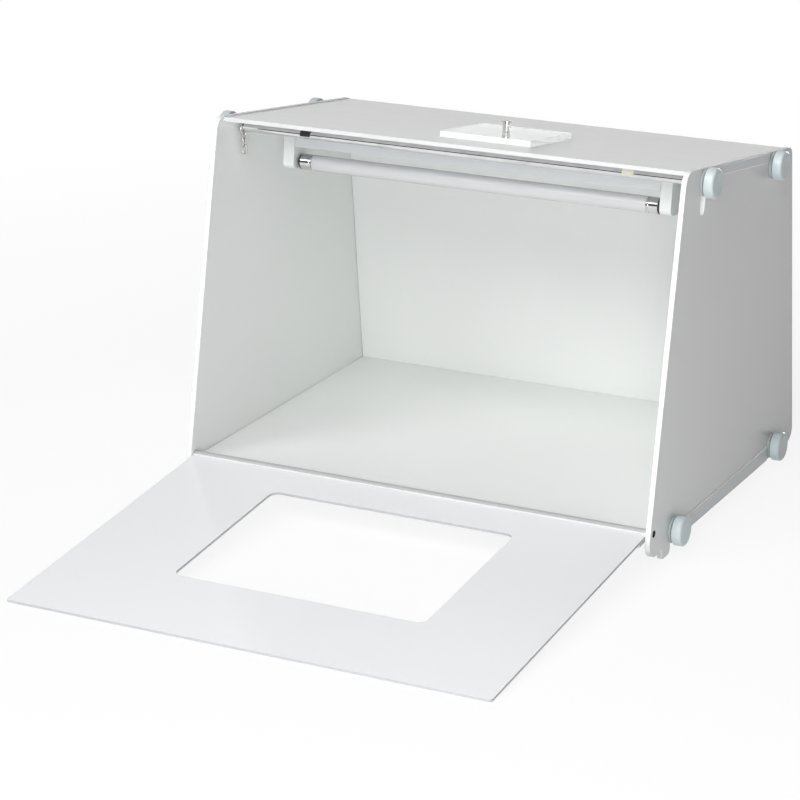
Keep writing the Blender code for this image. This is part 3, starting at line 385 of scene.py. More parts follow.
# The edge tone stands for rub wear, and on the front flap for painted shade.
def plastic_finish(name, colour, shade, edge_tone, roughness, spread, grain_scale, grain_depth,
                   patch_scale=8.0, shine=0.5, coat=0.0, edge_reach=0.0008):
    """A moulded or rolled plastic with uneven polish, fine relief and rubbed edges."""
    material = bpy.data.materials.new(name)
    material.use_nodes = True
    tree = material.node_tree
    shader = tree.nodes["Principled BSDF"]
    shader.inputs["Specular IOR Level"].default_value = shine
    shader.inputs["Coat Weight"].default_value = coat
    shader.inputs["Coat Roughness"].default_value = COAT_ROUGHNESS
    skin = tree.nodes.new("ShaderNodeGroup")
    skin.node_tree = PLASTIC_SKIN
    skin.inputs["Colour"].default_value = colour
    skin.inputs["Shade"].default_value = shade
    skin.inputs["Patch Scale"].default_value = patch_scale
    skin.inputs["Roughness"].default_value = roughness - spread / 2
    skin.inputs["Roughness Spread"].default_value = spread
    skin.inputs["Grain Scale"].default_value = grain_scale
    rub = tree.nodes.new("ShaderNodeGroup")
    rub.node_tree = EDGE_WEAR_AND_SHADE
    rub.inputs["Reach"].default_value = edge_reach
    edge = tree.nodes.new("ShaderNodeMix")
    edge.data_type = "RGBA"
    edge.inputs[MIX_SECOND].default_value = edge_tone
    relief = tree.nodes.new("ShaderNodeBump")
    relief.inputs["Strength"].default_value = 1.0
    relief.inputs["Distance"].default_value = grain_depth
    tree.links.new(rub.outputs["Mask"], edge.inputs[0])
    tree.links.new(skin.outputs["Colour"], edge.inputs[MIX_FIRST])
    tree.links.new(edge.outputs[MIX_RESULT], shader.inputs["Base Color"])
    tree.links.new(skin.outputs["Roughness"], shader.inputs["Roughness"])
    tree.links.new(skin.outputs["Height"], relief.inputs["Height"])
    tree.links.new(relief.outputs["Normal"], shader.inputs["Normal"])
    return material


white_sheet = plastic_finish(
    "white_sheet", colour=SHEET_COLOUR, shade=SHEET_SHADE, edge_tone=SAWN_COLOUR,
    roughness=SHEET_GLOSS, spread=0.04, grain_scale=350.0, grain_depth=0.000008, patch_scale=5.0,
    shine=0.2,
)
sawn_sheet = plastic_finish(
    "sawn_sheet", colour=SAWN_COLOUR, shade=SAWN_SHADE, edge_tone=SAWN_COLOUR,
    roughness=SAWN_GLOSS, spread=0.15, grain_scale=900.0, grain_depth=0.00004, patch_scale=60.0,
)
# Painted shade: the grey finish of the top panel's sawn edges.
top_edge_painted_shade = plastic_finish(
    "top_edge_painted_shade", colour=TOP_EDGE_PAINTED_SHADE, shade=TOP_EDGE_PAINTED_SHADE_PATCH, edge_tone=TOP_EDGE_PAINTED_SHADE,
    roughness=SAWN_GLOSS, spread=0.15, grain_scale=900.0, grain_depth=0.00004, patch_scale=60.0,
)
# Painted shade: black on the hinge holes' walls for the dark inside them.
hinge_hole_painted_shade = plastic_finish(
    "hinge_hole_painted_shade", colour=HINGE_HOLE_PAINTED_SHADE, shade=HINGE_HOLE_PAINTED_SHADE, edge_tone=HINGE_HOLE_PAINTED_SHADE,
    roughness=SAWN_GLOSS, spread=0.10, grain_scale=900.0, grain_depth=0.00002,
)
# Painted light: the near-white finish of the slot's walls and the side panels' top edges.
slot_edge = plastic_finish(
    "slot_edge", colour=SLOT_AND_TOP_EDGE_PAINTED_LIGHT, shade=SAWN_COLOUR, edge_tone=SLOT_AND_TOP_EDGE_PAINTED_LIGHT,
    roughness=SAWN_GLOSS, spread=0.15, grain_scale=900.0, grain_depth=0.00004,
)


def middle_of(node):
    low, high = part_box(node)
    return (low + high) / 2


# The finish given may be a grey painted shade instead of a sawn one, as on the top panel and the
# flap.
def sawn_edges(piece, face_normal, material):
    """Gives the narrow faces round a sheet the sawn finish."""
    piece.data.materials.append(material)
    for face in piece.data.polygons:
        if abs(face.normal.dot(face_normal)) < FACE_SHARE:
            face.material_index = 1


def move_where(piece, test, step):
    """Moves the vertices that pass the test."""
    only_select(piece)
    bpy.ops.object.mode_set(mode="EDIT")
    bpy.ops.mesh.select_all(action="DESELECT")
    bpy.ops.object.mode_set(mode="OBJECT")
    for vertex in piece.data.vertices:
        vertex.select = test(vertex.co)
    bpy.ops.object.mode_set(mode="EDIT")
    bpy.ops.transform.translate(value=step)
    bpy.ops.object.mode_set(mode="OBJECT")


for node, normal, edge_round in (
    ("left_side_panel", Vector((1, 0, 0)), SIDE_EDGE_ROUND),
    ("right_side_panel", Vector((1, 0, 0)), SIDE_EDGE_ROUND),
    ("top_panel", TOP_NORMAL, PANEL_EDGE_ROUND),
    ("back_panel", BACK_NORMAL, PANEL_EDGE_ROUND),
    ("floor_panel", Vector((0, 0, 1)), PANEL_EDGE_ROUND),
):
    panel = cut_from_solid(node, node + "_sheet", edge_round, steps=FINE_STEPS)
    if node == "top_panel":
        for way in (1, -1):
            move_where(panel, lambda spot: spot.x * way > TOP_END, (way * TOP_SIDE_REACH, 0, 0))
    fixed_to(panel, "box", "white_sheet", white_sheet, node)
    # The top panel's narrow faces take the grey painted shade, the other panels' the sawn finish.
    sawn_edges(panel, normal, top_edge_painted_shade if node == "top_panel" else sawn_sheet)
    if node.endswith("side_panel"):
        panel.data.materials.append(hinge_hole_painted_shade)
        panel.data.materials.append(slot_edge)
        pivot = middle_of("hinge_rod")
        for face in panel.data.polygons:
            along, up = face.center.y - pivot.y, face.center.z - pivot.z
            if abs(face.normal.x) < SQUARE_SHARE:
                in_slot = math.hypot(along - SLOT_ALONG, up - SLOT_UP) < SLOT_REACH
                # The hinge holes' walls take the black painted shade.
                if math.hypot(along, up) < HINGE_HOLE_SHADE_REACH:
                    face.material_index = HINGE_HOLE_SHADE_FINISH
                # The slot's walls and the upward top edges take the near-white painted light.
                elif in_slot or face.normal.dot(TOP_NORMAL) > TOP_SHARE:
                    face.material_index = PAINTED_LIGHT_FINISH

# Front flap
# A thinner and glossier sheet with a routed window, let down onto the table. Its rear edge sits in
# the snap profile, which turns on the steel hinge rod between the side panels.

FLAP_COLOUR = (0.86, 0.87, 0.88, 1.0)
FLAP_SHADE = (0.84, 0.85, 0.865, 1.0)
# Painted shade: the flap's sawn edges, and a thin band along them through the edge mask, are
# painted mid grey so that the edges show as dark lines.
FLAP_EDGE_PAINTED_SHADE = (0.55, 0.57, 0.60, 1.0)
FLAP_GLOSS = 0.14
FLAP_EDGE_ROUND = 0.0004
PROFILE_EDGE_ROUND = 0.0002
BARREL_RADIUS = 0.0043
TARNISH_SCALE = 45.0
TARNISH_DETAIL = 5.0
TARNISH_FROM = 0.45
TARNISH_TO = 0.80
DRAWN_SCALE = 2500.0
DRAWN_STRETCH = (0.02, 1.0, 1.0)
EVEN_STRETCH = (1.0, 1.0, 1.0)

# The flap's edge tone is painted shade, not wear.
flap_sheet = plastic_finish(
    "flap_sheet", colour=FLAP_COLOUR, shade=FLAP_SHADE, edge_tone=FLAP_EDGE_PAINTED_SHADE,
    roughness=FLAP_GLOSS, spread=0.06, grain_scale=300.0, grain_depth=0.000006, patch_scale=3.0,
    coat=0.25, edge_reach=0.0003,
)
flap = cut_from_solid("front_flap", "front_flap_sheet", FLAP_EDGE_ROUND)
fixed_to(flap, "flap", "flap_sheet", flap_sheet, "front_flap")
# Painted shade: the grey finish of the flap's sawn edges.
flap_edge_painted_shade = plastic_finish(
    "flap_edge_painted_shade", colour=(0.50, 0.51, 0.53, 1.0), shade=(0.46, 0.47, 0.49, 1.0),
    edge_tone=FLAP_EDGE_PAINTED_SHADE, roughness=SAWN_GLOSS, spread=0.10, grain_scale=900.0,
    grain_depth=0.00003,
)
sawn_edges(flap, Vector((0, 0, 1)), flap_edge_painted_shade)

profile_plastic = plastic_finish(
    "profile_plastic", colour=(0.84, 0.85, 0.86, 1.0), shade=(0.81, 0.82, 0.83, 1.0),
    edge_tone=(0.88, 0.88, 0.88, 1.0), roughness=0.28, spread=0.08, grain_scale=900.0,
    grain_depth=0.00001,
)
barrel_plastic = plastic_finish(
    "barrel_plastic", colour=(0.44, 0.44, 0.445, 1.0), shade=(0.40, 0.40, 0.405, 1.0),
    edge_tone=(0.50, 0.50, 0.50, 1.0), roughness=0.46, spread=0.12, grain_scale=900.0,
    grain_depth=0.00001,
)
profile = cut_from_solid("flap_hinge_profile", "flap_hinge_profile_trim", PROFILE_EDGE_ROUND)
fixed_to(profile, "flap", "grey_strip", barrel_plastic, "flap_hinge_profile")
profile.data.materials.append(profile_plastic)
hinge_axis = middle_of("hinge_rod")
for face in profile.data.polygons:
    if face.center.y < hinge_axis.y - BARREL_RADIUS + PROFILE_EDGE_ROUND:
        face.material_index = 1
for node in ("top_rail_left", "top_rail_right"):
    rail = cut_from_solid(node, node + "_trim", PROFILE_EDGE_ROUND)
    fixed_to(rail, "box", "white_profile", profile_plastic, node)


def build_drawn_metal():
    """Node group: fine lines along the way a rod was drawn, with a little tarnish."""
    group = bpy.data.node_groups.new("drawn_metal", "ShaderNodeTree")
    group_socket(group, "Colour", "INPUT", "NodeSocketColor")
    group_socket(group, "Tarnish", "INPUT", "NodeSocketColor")
    group_socket(group, "Roughness", "INPUT", "NodeSocketFloat", 0.1)
    group_socket(group, "Roughness Spread", "INPUT", "NodeSocketFloat", 0.1)
    group_socket(group, "Line Stretch", "INPUT", "NodeSocketVector", DRAWN_STRETCH)
    group_socket(group, "Colour", "OUTPUT", "NodeSocketColor")
    group_socket(group, "Roughness", "OUTPUT", "NodeSocketFloat")
    group_socket(group, "Height", "OUTPUT", "NodeSocketFloat")
    nodes, links = group.nodes, group.links
    given = nodes.new("NodeGroupInput")
    out = nodes.new("NodeGroupOutput")
    place = nodes.new("ShaderNodeTexCoord")
    clouds = nodes.new("ShaderNodeTexNoise")
    clouds.inputs["Scale"].default_value = TARNISH_SCALE
    clouds.inputs["Detail"].default_value = TARNISH_DETAIL
    clear = nodes.new("ShaderNodeMapRange")
    clear.inputs["From Min"].default_value = TARNISH_FROM
    clear.inputs["From Max"].default_value = TARNISH_TO
    tone = nodes.new("ShaderNodeMix")
    tone.data_type = "RGBA"
    along = nodes.new("ShaderNodeVectorMath")
    along.operation = "MULTIPLY"
    lines = nodes.new("ShaderNodeTexNoise")
    lines.inputs["Scale"].default_value = DRAWN_SCALE
    lines.inputs["Detail"].default_value = 2.0
    spread = nodes.new("ShaderNodeMath")
    spread.operation = "MULTIPLY_ADD"
    links.new(place.outputs["Object"], clouds.inputs["Vector"])
    links.new(clouds.outputs["Fac"], clear.inputs["Value"])
    links.new(clear.outputs["Result"], tone.inputs[0])
    links.new(given.outputs["Colour"], tone.inputs[MIX_FIRST])
    links.new(given.outputs["Tarnish"], tone.inputs[MIX_SECOND])
    links.new(place.outputs["Object"], along.inputs[0])
    links.new(given.outputs["Line Stretch"], along.inputs[1])
    links.new(along.outputs["Vector"], lines.inputs["Vector"])
    links.new(lines.outputs["Fac"], spread.inputs[0])
    links.new(given.outputs["Roughness Spread"], spread.inputs[1])
    links.new(given.outputs["Roughness"], spread.inputs[2])
    links.new(tone.outputs[MIX_RESULT], out.inputs["Colour"])
    links.new(spread.outputs[0], out.inputs["Roughness"])
    links.new(lines.outputs["Fac"], out.inputs["Height"])
    return group


DRAWN_METAL = build_drawn_metal()


def metal_finish(name, colour, tarnish, roughness, spread, depth, stretch=DRAWN_STRETCH):
    """Plated or plain metal with its drawing lines and a faint tarnish."""
    material = bpy.data.materials.new(name)
    material.use_nodes = True
    tree = material.node_tree
    shader = tree.nodes["Principled BSDF"]
    shader.inputs["Metallic"].default_value = 1.0
    skin = tree.nodes.new("ShaderNodeGroup")
    skin.node_tree = DRAWN_METAL
    skin.inputs["Colour"].default_value = colour
    skin.inputs["Tarnish"].default_value = tarnish
    skin.inputs["Roughness"].default_value = roughness
    skin.inputs["Roughness Spread"].default_value = spread
    skin.inputs["Line Stretch"].default_value = stretch
    relief = tree.nodes.new("ShaderNodeBump")
    relief.inputs["Strength"].default_value = 1.0
    relief.inputs["Distance"].default_value = depth
    tree.links.new(skin.outputs["Colour"], shader.inputs["Base Color"])
    tree.links.new(skin.outputs["Roughness"], shader.inputs["Roughness"])
    tree.links.new(skin.outputs["Height"], relief.inputs["Height"])
    tree.links.new(relief.outputs["Normal"], shader.inputs["Normal"])
    return material


def turned_piece(name, rings, facets):
    """Starts as a flat disc and is drawn out ring by ring along Z, as on a lathe.
    Each ring is (radius, height)."""
    radius, height = rings[0]
    bpy.ops.object.select_all(action="DESELECT")
    bpy.ops.mesh.primitive_circle_add(
        vertices=facets, radius=radius, fill_type="NGON", location=(0, 0, height)
    )
    piece = bpy.context.object
    piece.name = name
    bpy.ops.object.mode_set(mode="EDIT")
    bpy.ops.mesh.select_all(action="SELECT")
    for next_radius, next_height in rings[1:]:
        step = {"value": (0, 0, next_height - height)}
        bpy.ops.mesh.extrude_region_move(TRANSFORM_OT_translate=step)
        scale = next_radius / radius
        bpy.ops.transform.resize(value=(scale, scale, 1))
        radius, height = next_radius, next_height
    bpy.ops.mesh.select_all(action="SELECT")
    bpy.ops.mesh.normals_make_consistent(inside=False)
    bpy.ops.object.mode_set(mode="OBJECT")
    bpy.ops.object.transform_apply(location=True, rotation=True, scale=True)
    return piece


def set_in_place(piece, centre, turn=(0, 0, 0)):
    """Moves a piece modelled at the origin to its place, which goes into its mesh."""
    only_select(piece)
    piece.location = centre
    piece.rotation_euler = turn
    bpy.ops.object.transform_apply(location=True, rotation=True, scale=True)


def smoothed(piece, angle=EDGE_ANGLE):
    only_select(piece)
    bpy.ops.object.shade_smooth_by_angle(angle=angle)
    return piece


def length_along_x(node):
    low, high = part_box(node)
    return high.x - low.x


ACROSS_RIGHT = (0, math.pi / 2, 0)
ACROSS_LEFT = (0, -math.pi / 2, 0)
ROUND_FACETS = 64
HINGE_ROD_RADIUS = 0.0025
HINGE_ROD_CHAMFER = 0.0005

bright_steel = metal_finish(
    "bright_steel", colour=(0.62, 0.63, 0.64, 1.0), tarnish=(0.50, 0.50, 0.51, 1.0),
    roughness=0.24, spread=0.16, depth=0.0000015,
)
half = length_along_x("hinge_rod") / 2
hinge_rod = turned_piece("hinge_rod_bar", [
    (HINGE_ROD_RADIUS - HINGE_ROD_CHAMFER, -half),
    (HINGE_ROD_RADIUS, HINGE_ROD_CHAMFER - half),
    (HINGE_ROD_RADIUS, half - HINGE_ROD_CHAMFER),
    (HINGE_ROD_RADIUS - HINGE_ROD_CHAMFER, half),
], ROUND_FACETS)
set_in_place(hinge_rod, middle_of("hinge_rod"), ACROSS_RIGHT)
smoothed(hinge_rod)
fixed_to(hinge_rod, "box", "steel", bright_steel, "hinge_rod")

# Edge strips
# Flat bluish grey trim glued along the top and bottom edges of the side panels, between the knobs.
# Extruded plastic, cut square at the ends, with softly rounded long edges.

STRIP_ROUND = 0.0008
STRIP_SINK = 0.0010
STRIP_FACE = 0.0010
STRIP_EDGE_SHARE = 0.15

strip_plastic = plastic_finish(
    "strip_plastic", colour=(0.71, 0.74, 0.745, 1.0), shade=(0.67, 0.70, 0.705, 1.0),
    edge_tone=(0.86, 0.87, 0.86, 1.0), roughness=0.34, spread=0.10, grain_scale=1200.0,
    grain_depth=0.00001, edge_reach=0.0006,
)
# Painted light: the strips' long edges that face the middle of the panel are painted near white for
# the lit line along them.
strip_edge_painted_light = plastic_finish(
    "strip_edge_painted_light", colour=(0.95, 0.95, 0.93, 1.0), shade=(0.92, 0.92, 0.90, 1.0),
    edge_tone=(0.96, 0.96, 0.94, 1.0), roughness=0.40, spread=0.10, grain_scale=1200.0,
    grain_depth=0.00001,
)
for node in ("left_top_strip", "left_bottom_strip", "right_top_strip", "right_bottom_strip"):
    strip = cut_from_solid(node, node + "_trim", STRIP_ROUND, steps=FINE_STEPS)
    way = -1 if node.startswith("left") else 1
    face_place = max(vertex.co.x * way for vertex in strip.data.vertices)
    move_where(
        strip, lambda spot: spot.x * way < face_place - STRIP_FACE, (-way * STRIP_SINK, 0, 0)
    )
    fixed_to(strip, "box", "grey_strip", strip_plastic, node)
    # The long edge facing the panel's middle takes the near-white painted light.
    strip.data.materials.append(strip_edge_painted_light)
    inward = -TOP_NORMAL if "_top_" in node else Vector((0, 0, 1))
    for face in strip.data.polygons:
        if face.normal.dot(inward) > STRIP_EDGE_SHARE:
            face.material_index = 1

# Tie rods and collars
# Chromed steel rods across the box, tapped at both ends for the knobs' studs. The upper pair ends
# in short grey collars, on which the top panel's rails rest.

ROD_RADIUS = 0.0042
ROD_BORE_RADIUS = 0.0031
ROD_BORE_DEPTH = 0.014
ROD_CHAMFER = 0.0005
COLLAR_ROUND = 0.0006

chrome = metal_finish(
    "chrome", colour=(0.78, 0.78, 0.79, 1.0), tarnish=(0.66, 0.66, 0.66, 1.0), roughness=0.05,
    spread=0.06, depth=0.0000006,
)
for node in ("top_front_rod", "top_rear_rod", "bottom_front_rod", "bottom_rear_rod"):
    half = length_along_x(node) / 2
    rod = turned_piece(node + "_bar", [
        (ROD_BORE_RADIUS, ROD_BORE_DEPTH - half),
        (ROD_BORE_RADIUS, -half),
        (ROD_RADIUS - ROD_CHAMFER, -half),
        (ROD_RADIUS, ROD_CHAMFER - half),
        (ROD_RADIUS, half - ROD_CHAMFER),
        (ROD_RADIUS - ROD_CHAMFER, half),
        (ROD_BORE_RADIUS, half),
        (ROD_BORE_RADIUS, half - ROD_BORE_DEPTH),
    ], ROUND_FACETS)
    set_in_place(rod, middle_of(node), ACROSS_RIGHT)
    smoothed(rod)
    fixed_to(rod, "box", "bright_metal", chrome, node)

collar_plastic = plastic_finish(
    "collar_plastic", colour=(0.50, 0.51, 0.51, 1.0), shade=(0.44, 0.45, 0.45, 1.0),
    edge_tone=(0.60, 0.61, 0.61, 1.0), roughness=0.38, spread=0.12, grain_scale=1500.0,
    grain_depth=0.00001, edge_reach=0.0004,
)
for node in ("rod_collar_left_front", "rod_collar_right_front",
             "rod_collar_left_rear", "rod_collar_right_rear"):
    collar = cut_from_solid(node, node + "_ring", COLLAR_ROUND)
    fixed_to(collar, "box", "grey_strip", collar_plastic, node)

# Clamp knobs
# Pale blue-grey moulded knobs: a hub against the panel, a narrow neck, then a thick head with a
# rounded rim and a shallow dished face. A steel stud is moulded in and screws into the tie rod.

KNOB_RADIUS = 0.01475
KNOB_HUB_RADIUS = 0.0130
KNOB_SEAT = 0.0003
KNOB_HUB_TOP = 0.0030
KNOB_NECK_RADIUS = 0.01075
KNOB_HEAD_BACK = 0.0043
KNOB_FACE = 0.0140
KNOB_RIM_ROUND = 0.0028
KNOB_RIM_STEPS = 10
KNOB_BACK_ROUND = 0.0006
KNOB_GROOVE_RADIUS = 0.0094
KNOB_GROOVE_DEPTH = 0.00025
KNOB_DISH_RADIUS = 0.0080
KNOB_DISH_DEPTH = 0.0005
KNOB_GATE_RADIUS = 0.0012
KNOB_STUD_RADIUS = 0.0028
KNOB_STUD_END = -0.016

knob_plastic = plastic_finish(
    "knob_plastic", colour=(0.61, 0.68, 0.70, 1.0), shade=(0.57, 0.645, 0.665, 1.0),
    edge_tone=(0.71, 0.77, 0.79, 1.0), roughness=0.32, spread=0.10, grain_scale=1400.0,
    grain_depth=0.00001, patch_scale=30.0, edge_reach=0.0009,
)
# Painted shade: the hub is painted a darker blue-grey than the head, for the shade under the head.
hub_painted_shade = plastic_finish(
    "hub_painted_shade", colour=(0.42, 0.46, 0.47, 1.0), shade=(0.38, 0.42, 0.43, 1.0),
    edge_tone=(0.50, 0.54, 0.55, 1.0), roughness=0.40, spread=0.10, grain_scale=1400.0,
    grain_depth=0.00001, patch_scale=30.0,
)
rim = [
    (
        KNOB_RADIUS - KNOB_RIM_ROUND * (1 - math.cos(math.pi / 2 * i / KNOB_RIM_STEPS)),
        KNOB_FACE - KNOB_RIM_ROUND * (1 - math.sin(math.pi / 2 * i / KNOB_RIM_STEPS)),
    )
    for i in range(KNOB_RIM_STEPS + 1)
]
KNOB_RINGS = [
    (KNOB_STUD_RADIUS, KNOB_STUD_END), (KNOB_STUD_RADIUS, KNOB_SEAT),
    (KNOB_HUB_RADIUS, KNOB_SEAT), (KNOB_HUB_RADIUS, KNOB_HUB_TOP - KNOB_BACK_ROUND),
    (KNOB_HUB_RADIUS - KNOB_BACK_ROUND, KNOB_HUB_TOP), (KNOB_NECK_RADIUS, KNOB_HUB_TOP),
    (KNOB_NECK_RADIUS, KNOB_HEAD_BACK), (KNOB_RADIUS - KNOB_BACK_ROUND, KNOB_HEAD_BACK),
    (KNOB_RADIUS, KNOB_HEAD_BACK + KNOB_BACK_ROUND),
    *rim,
    (KNOB_GROOVE_RADIUS + KNOB_GROOVE_DEPTH, KNOB_FACE),
    (KNOB_GROOVE_RADIUS, KNOB_FACE - KNOB_GROOVE_DEPTH),
    (KNOB_GROOVE_RADIUS - KNOB_GROOVE_DEPTH, KNOB_FACE),
    (KNOB_DISH_RADIUS, KNOB_FACE),
    (KNOB_DISH_RADIUS / 2, KNOB_FACE - KNOB_DISH_DEPTH * 0.8),
    (KNOB_GATE_RADIUS, KNOB_FACE - KNOB_DISH_DEPTH),
    (KNOB_GATE_RADIUS * 0.9, KNOB_FACE - KNOB_DISH_DEPTH - KNOB_GROOVE_DEPTH),
]
for side, turn in (("left", ACROSS_LEFT), ("right", ACROSS_RIGHT)):
    for corner in ("top_front", "top_rear", "bottom_front", "bottom_rear"):
        node = f"knob_{side}_{corner}"
        knob = turned_piece(node + "_cap", KNOB_RINGS, ROUND_FACETS)
        low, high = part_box(node)
        seat = middle_of(node)
        seat.x = high.x - KNOB_FACE if side == "right" else low.x + KNOB_FACE
        set_in_place(knob, seat, turn)
        smoothed(knob)
        fixed_to(knob, node, "knob_plastic", knob_plastic, node)
        # The hub's faces take the darker painted shade.
        knob.data.materials.append(hub_painted_shade)
        for face in knob.data.polygons:
            if abs(face.center.x - seat.x) < KNOB_HUB_TOP + KNOB_BACK_ROUND:
                face.material_index = 1

# Lamp batten
# A folded steel channel, painted pale, hangs under the top panel between two moulded end holders.
# A white tube with bright metal caps turns between the holders.

HOUSING_ROUND = 0.0006
HOLDER_ROUND = 0.0005
TUBE_RADIUS = 0.0080
TUBE_NECK = 0.0006
CAP_ROUND = 0.0008
CAP_GROOVE = 0.0004
CAP_DISC_RADIUS = 0.0068
CAP_DISC_THICKNESS = 0.0008
# A band of the cap's shell next to the end disc is painted black as painted shade for the gap
# against the holder.
CAP_SHADE_BAND_WIDTH = 0.0016
CAP_LENGTH = 0.0145
PIN_RADIUS = 0.0011
PIN_ROUND = 0.0004
PIN_LENGTH = 0.0072
PIN_SPACING = 0.005
PIN_FACETS = 16

lamp_paint = plastic_finish(
    "lamp_paint", colour=(0.68, 0.70, 0.71, 1.0), shade=(0.65, 0.67, 0.68, 1.0),
    edge_tone=(0.76, 0.78, 0.79, 1.0), roughness=0.30, spread=0.12, grain_scale=1800.0,
    grain_depth=0.00001, patch_scale=14.0,
)
holder_plastic = plastic_finish(
    "holder_plastic", colour=(0.74, 0.77, 0.76, 1.0), shade=(0.71, 0.74, 0.73, 1.0),
    edge_tone=(0.80, 0.83, 0.82, 1.0), roughness=0.34, spread=0.10, grain_scale=1600.0,
    grain_depth=0.00001, patch_scale=25.0,
)
housing = cut_from_solid("lamp_housing", "lamp_housing_channel", HOUSING_ROUND)
fixed_to(housing, "box", "lamp_body", lamp_paint, "lamp_housing")
for node in ("lamp_holder_left", "lamp_holder_right"):
    holder = cut_from_solid(node, node + "_block", HOLDER_ROUND, steps=FINE_STEPS)
    fixed_to(holder, "box", "lamp_body", holder_plastic, node)

tube_white = plastic_finish(
    "tube_white", colour=(0.62, 0.63, 0.635, 1.0), shade=(0.60, 0.61, 0.615, 1.0),
    edge_tone=(0.62, 0.63, 0.635, 1.0), roughness=0.08, spread=0.03, grain_scale=2200.0,
    grain_depth=0.000001, patch_scale=20.0,
)
half = length_along_x("lamp_tube") / 2
tube = turned_piece("lamp_tube_glass", [
    (TUBE_RADIUS - TUBE_NECK, -half), (TUBE_RADIUS - TUBE_NECK, TUBE_NECK - half),
    (TUBE_RADIUS, 3 * TUBE_NECK - half), (TUBE_RADIUS, half - 3 * TUBE_NECK),
    (TUBE_RADIUS - TUBE_NECK, half - TUBE_NECK), (TUBE_RADIUS - TUBE_NECK, half),
], ROUND_FACETS)
set_in_place(tube, middle_of("lamp_tube"), ACROSS_RIGHT)
smoothed(tube)
fixed_to(tube, "tube", "tube_glass", tube_white, "lamp_tube")

cap_metal = metal_finish(
    "cap_metal", colour=(0.70, 0.70, 0.70, 1.0), tarnish=(0.55, 0.55, 0.54, 1.0), roughness=0.10,
    spread=0.10, depth=0.0000015,
)
# The end disc is black insulator; the band of shell before it is painted black as painted shade for
# the gap against the holder.
cap_disc_black_and_painted_shade = plastic_finish(
    "cap_disc_black_and_painted_shade", colour=(0.02, 0.02, 0.02, 1.0), shade=(0.03, 0.03, 0.03, 1.0),
    edge_tone=(0.06, 0.06, 0.06, 1.0), roughness=0.40, spread=0.10, grain_scale=2000.0,
    grain_depth=0.00001,
)
disc_top = CAP_LENGTH
disc_foot = CAP_LENGTH - CAP_DISC_THICKNESS
painted_shade_from = disc_foot - CAP_SHADE_BAND_WIDTH
CAP_RINGS = [
    (TUBE_RADIUS - CAP_ROUND, 0), (TUBE_RADIUS, CAP_ROUND / 2),
    (TUBE_RADIUS, 5 * CAP_GROOVE), (TUBE_RADIUS - CAP_GROOVE, 6 * CAP_GROOVE),
    (TUBE_RADIUS, 7 * CAP_GROOVE), (TUBE_RADIUS, painted_shade_from), (TUBE_RADIUS, disc_foot - CAP_ROUND),
    (TUBE_RADIUS - CAP_ROUND / 3, disc_foot - CAP_ROUND / 3), (TUBE_RADIUS - CAP_ROUND, disc_foot),
    (CAP_DISC_RADIUS, disc_foot), (CAP_DISC_RADIUS, disc_top),
]
PIN_RINGS = [
    (PIN_RADIUS, CAP_LENGTH - CAP_DISC_THICKNESS / 2),
    (PIN_RADIUS, CAP_LENGTH + PIN_LENGTH - PIN_ROUND),
    (PIN_RADIUS - PIN_ROUND, CAP_LENGTH + PIN_LENGTH),
]
for side, turn in (("left", ACROSS_LEFT), ("right", ACROSS_RIGHT)):
    node = f"tube_cap_{side}"
    cap = turned_piece(node + "_shell", CAP_RINGS, ROUND_FACETS)
    pins = []
    for offset in (-PIN_SPACING / 2, PIN_SPACING / 2):
        pin = turned_piece(f"{node}_pin", PIN_RINGS, PIN_FACETS)
        set_in_place(pin, (0, offset, 0))
        pins.append(pin)
    only_select(cap)
    for pin in pins:
        pin.select_set(True)
    bpy.ops.object.join()
    low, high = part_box(node)
    seat = middle_of(node)
    reach = CAP_LENGTH + PIN_LENGTH
    seat.x = high.x - reach if side == "right" else low.x + reach
    set_in_place(cap, seat, turn)
    smoothed(cap)
    fixed_to(cap, "tube", "bright_metal", cap_metal, node)
    # The end disc and the shell band before it take the black, the band as painted shade.
    cap.data.materials.append(cap_disc_black_and_painted_shade)
    for face in cap.data.polygons:
        if painted_shade_from < abs(face.center.x - seat.x) < CAP_LENGTH + MERGE_DISTANCE:
            face.material_index = 1

# Lamp's small parts
# Brackets and screws that hold the channel to the top panel, the end screw of the right holder,
# the power inlet in the left holder, and the ballast board with its choke inside the channel.

SMALL_ROUND = 0.0002

plain_steel = metal_finish(
    "plain_steel", colour=(0.52, 0.52, 0.53, 1.0), tarnish=(0.38, 0.38, 0.38, 1.0),
    roughness=0.26, spread=0.18, depth=0.000003, stretch=EVEN_STRETCH,
)
dark_plastic = plastic_finish(
    "dark_plastic", colour=(0.02, 0.02, 0.021, 1.0), shade=(0.03, 0.03, 0.031, 1.0),
    edge_tone=(0.09, 0.09, 0.09, 1.0), roughness=0.36, spread=0.14, grain_scale=2000.0,
    grain_depth=0.00001, edge_reach=0.0004,
)
board_green = plastic_finish(
    "board_green", colour=(0.03, 0.17, 0.08, 1.0), shade=(0.02, 0.12, 0.06, 1.0),
    edge_tone=(0.35, 0.33, 0.22, 1.0), roughness=0.42, spread=0.10, grain_scale=900.0,
    grain_depth=0.00002, patch_scale=120.0,
)
for node, slot, material in (
    ("lamp_bracket_left", "steel", plain_steel), ("lamp_bracket_right", "steel", plain_steel),
    ("lamp_screw_left", "steel", plain_steel), ("lamp_screw_right", "steel", plain_steel),
    ("lamp_end_screw", "steel", plain_steel), ("lamp_inlet", "black_plastic", dark_plastic),
    ("ballast_board", "board_green", board_green), ("ballast_choke", "black_plastic", dark_plastic),
    ("thumb_screw_nut", "steel", plain_steel),
):
    small = cut_from_solid(node, node + "_piece", SMALL_ROUND)
    fixed_to(small, "box", slot, material, node)

# Cover plate
# A clear acrylic square over the hole in the top panel, with polished faces and sawn edges that
# glow white. It swivels about the thumb screw.

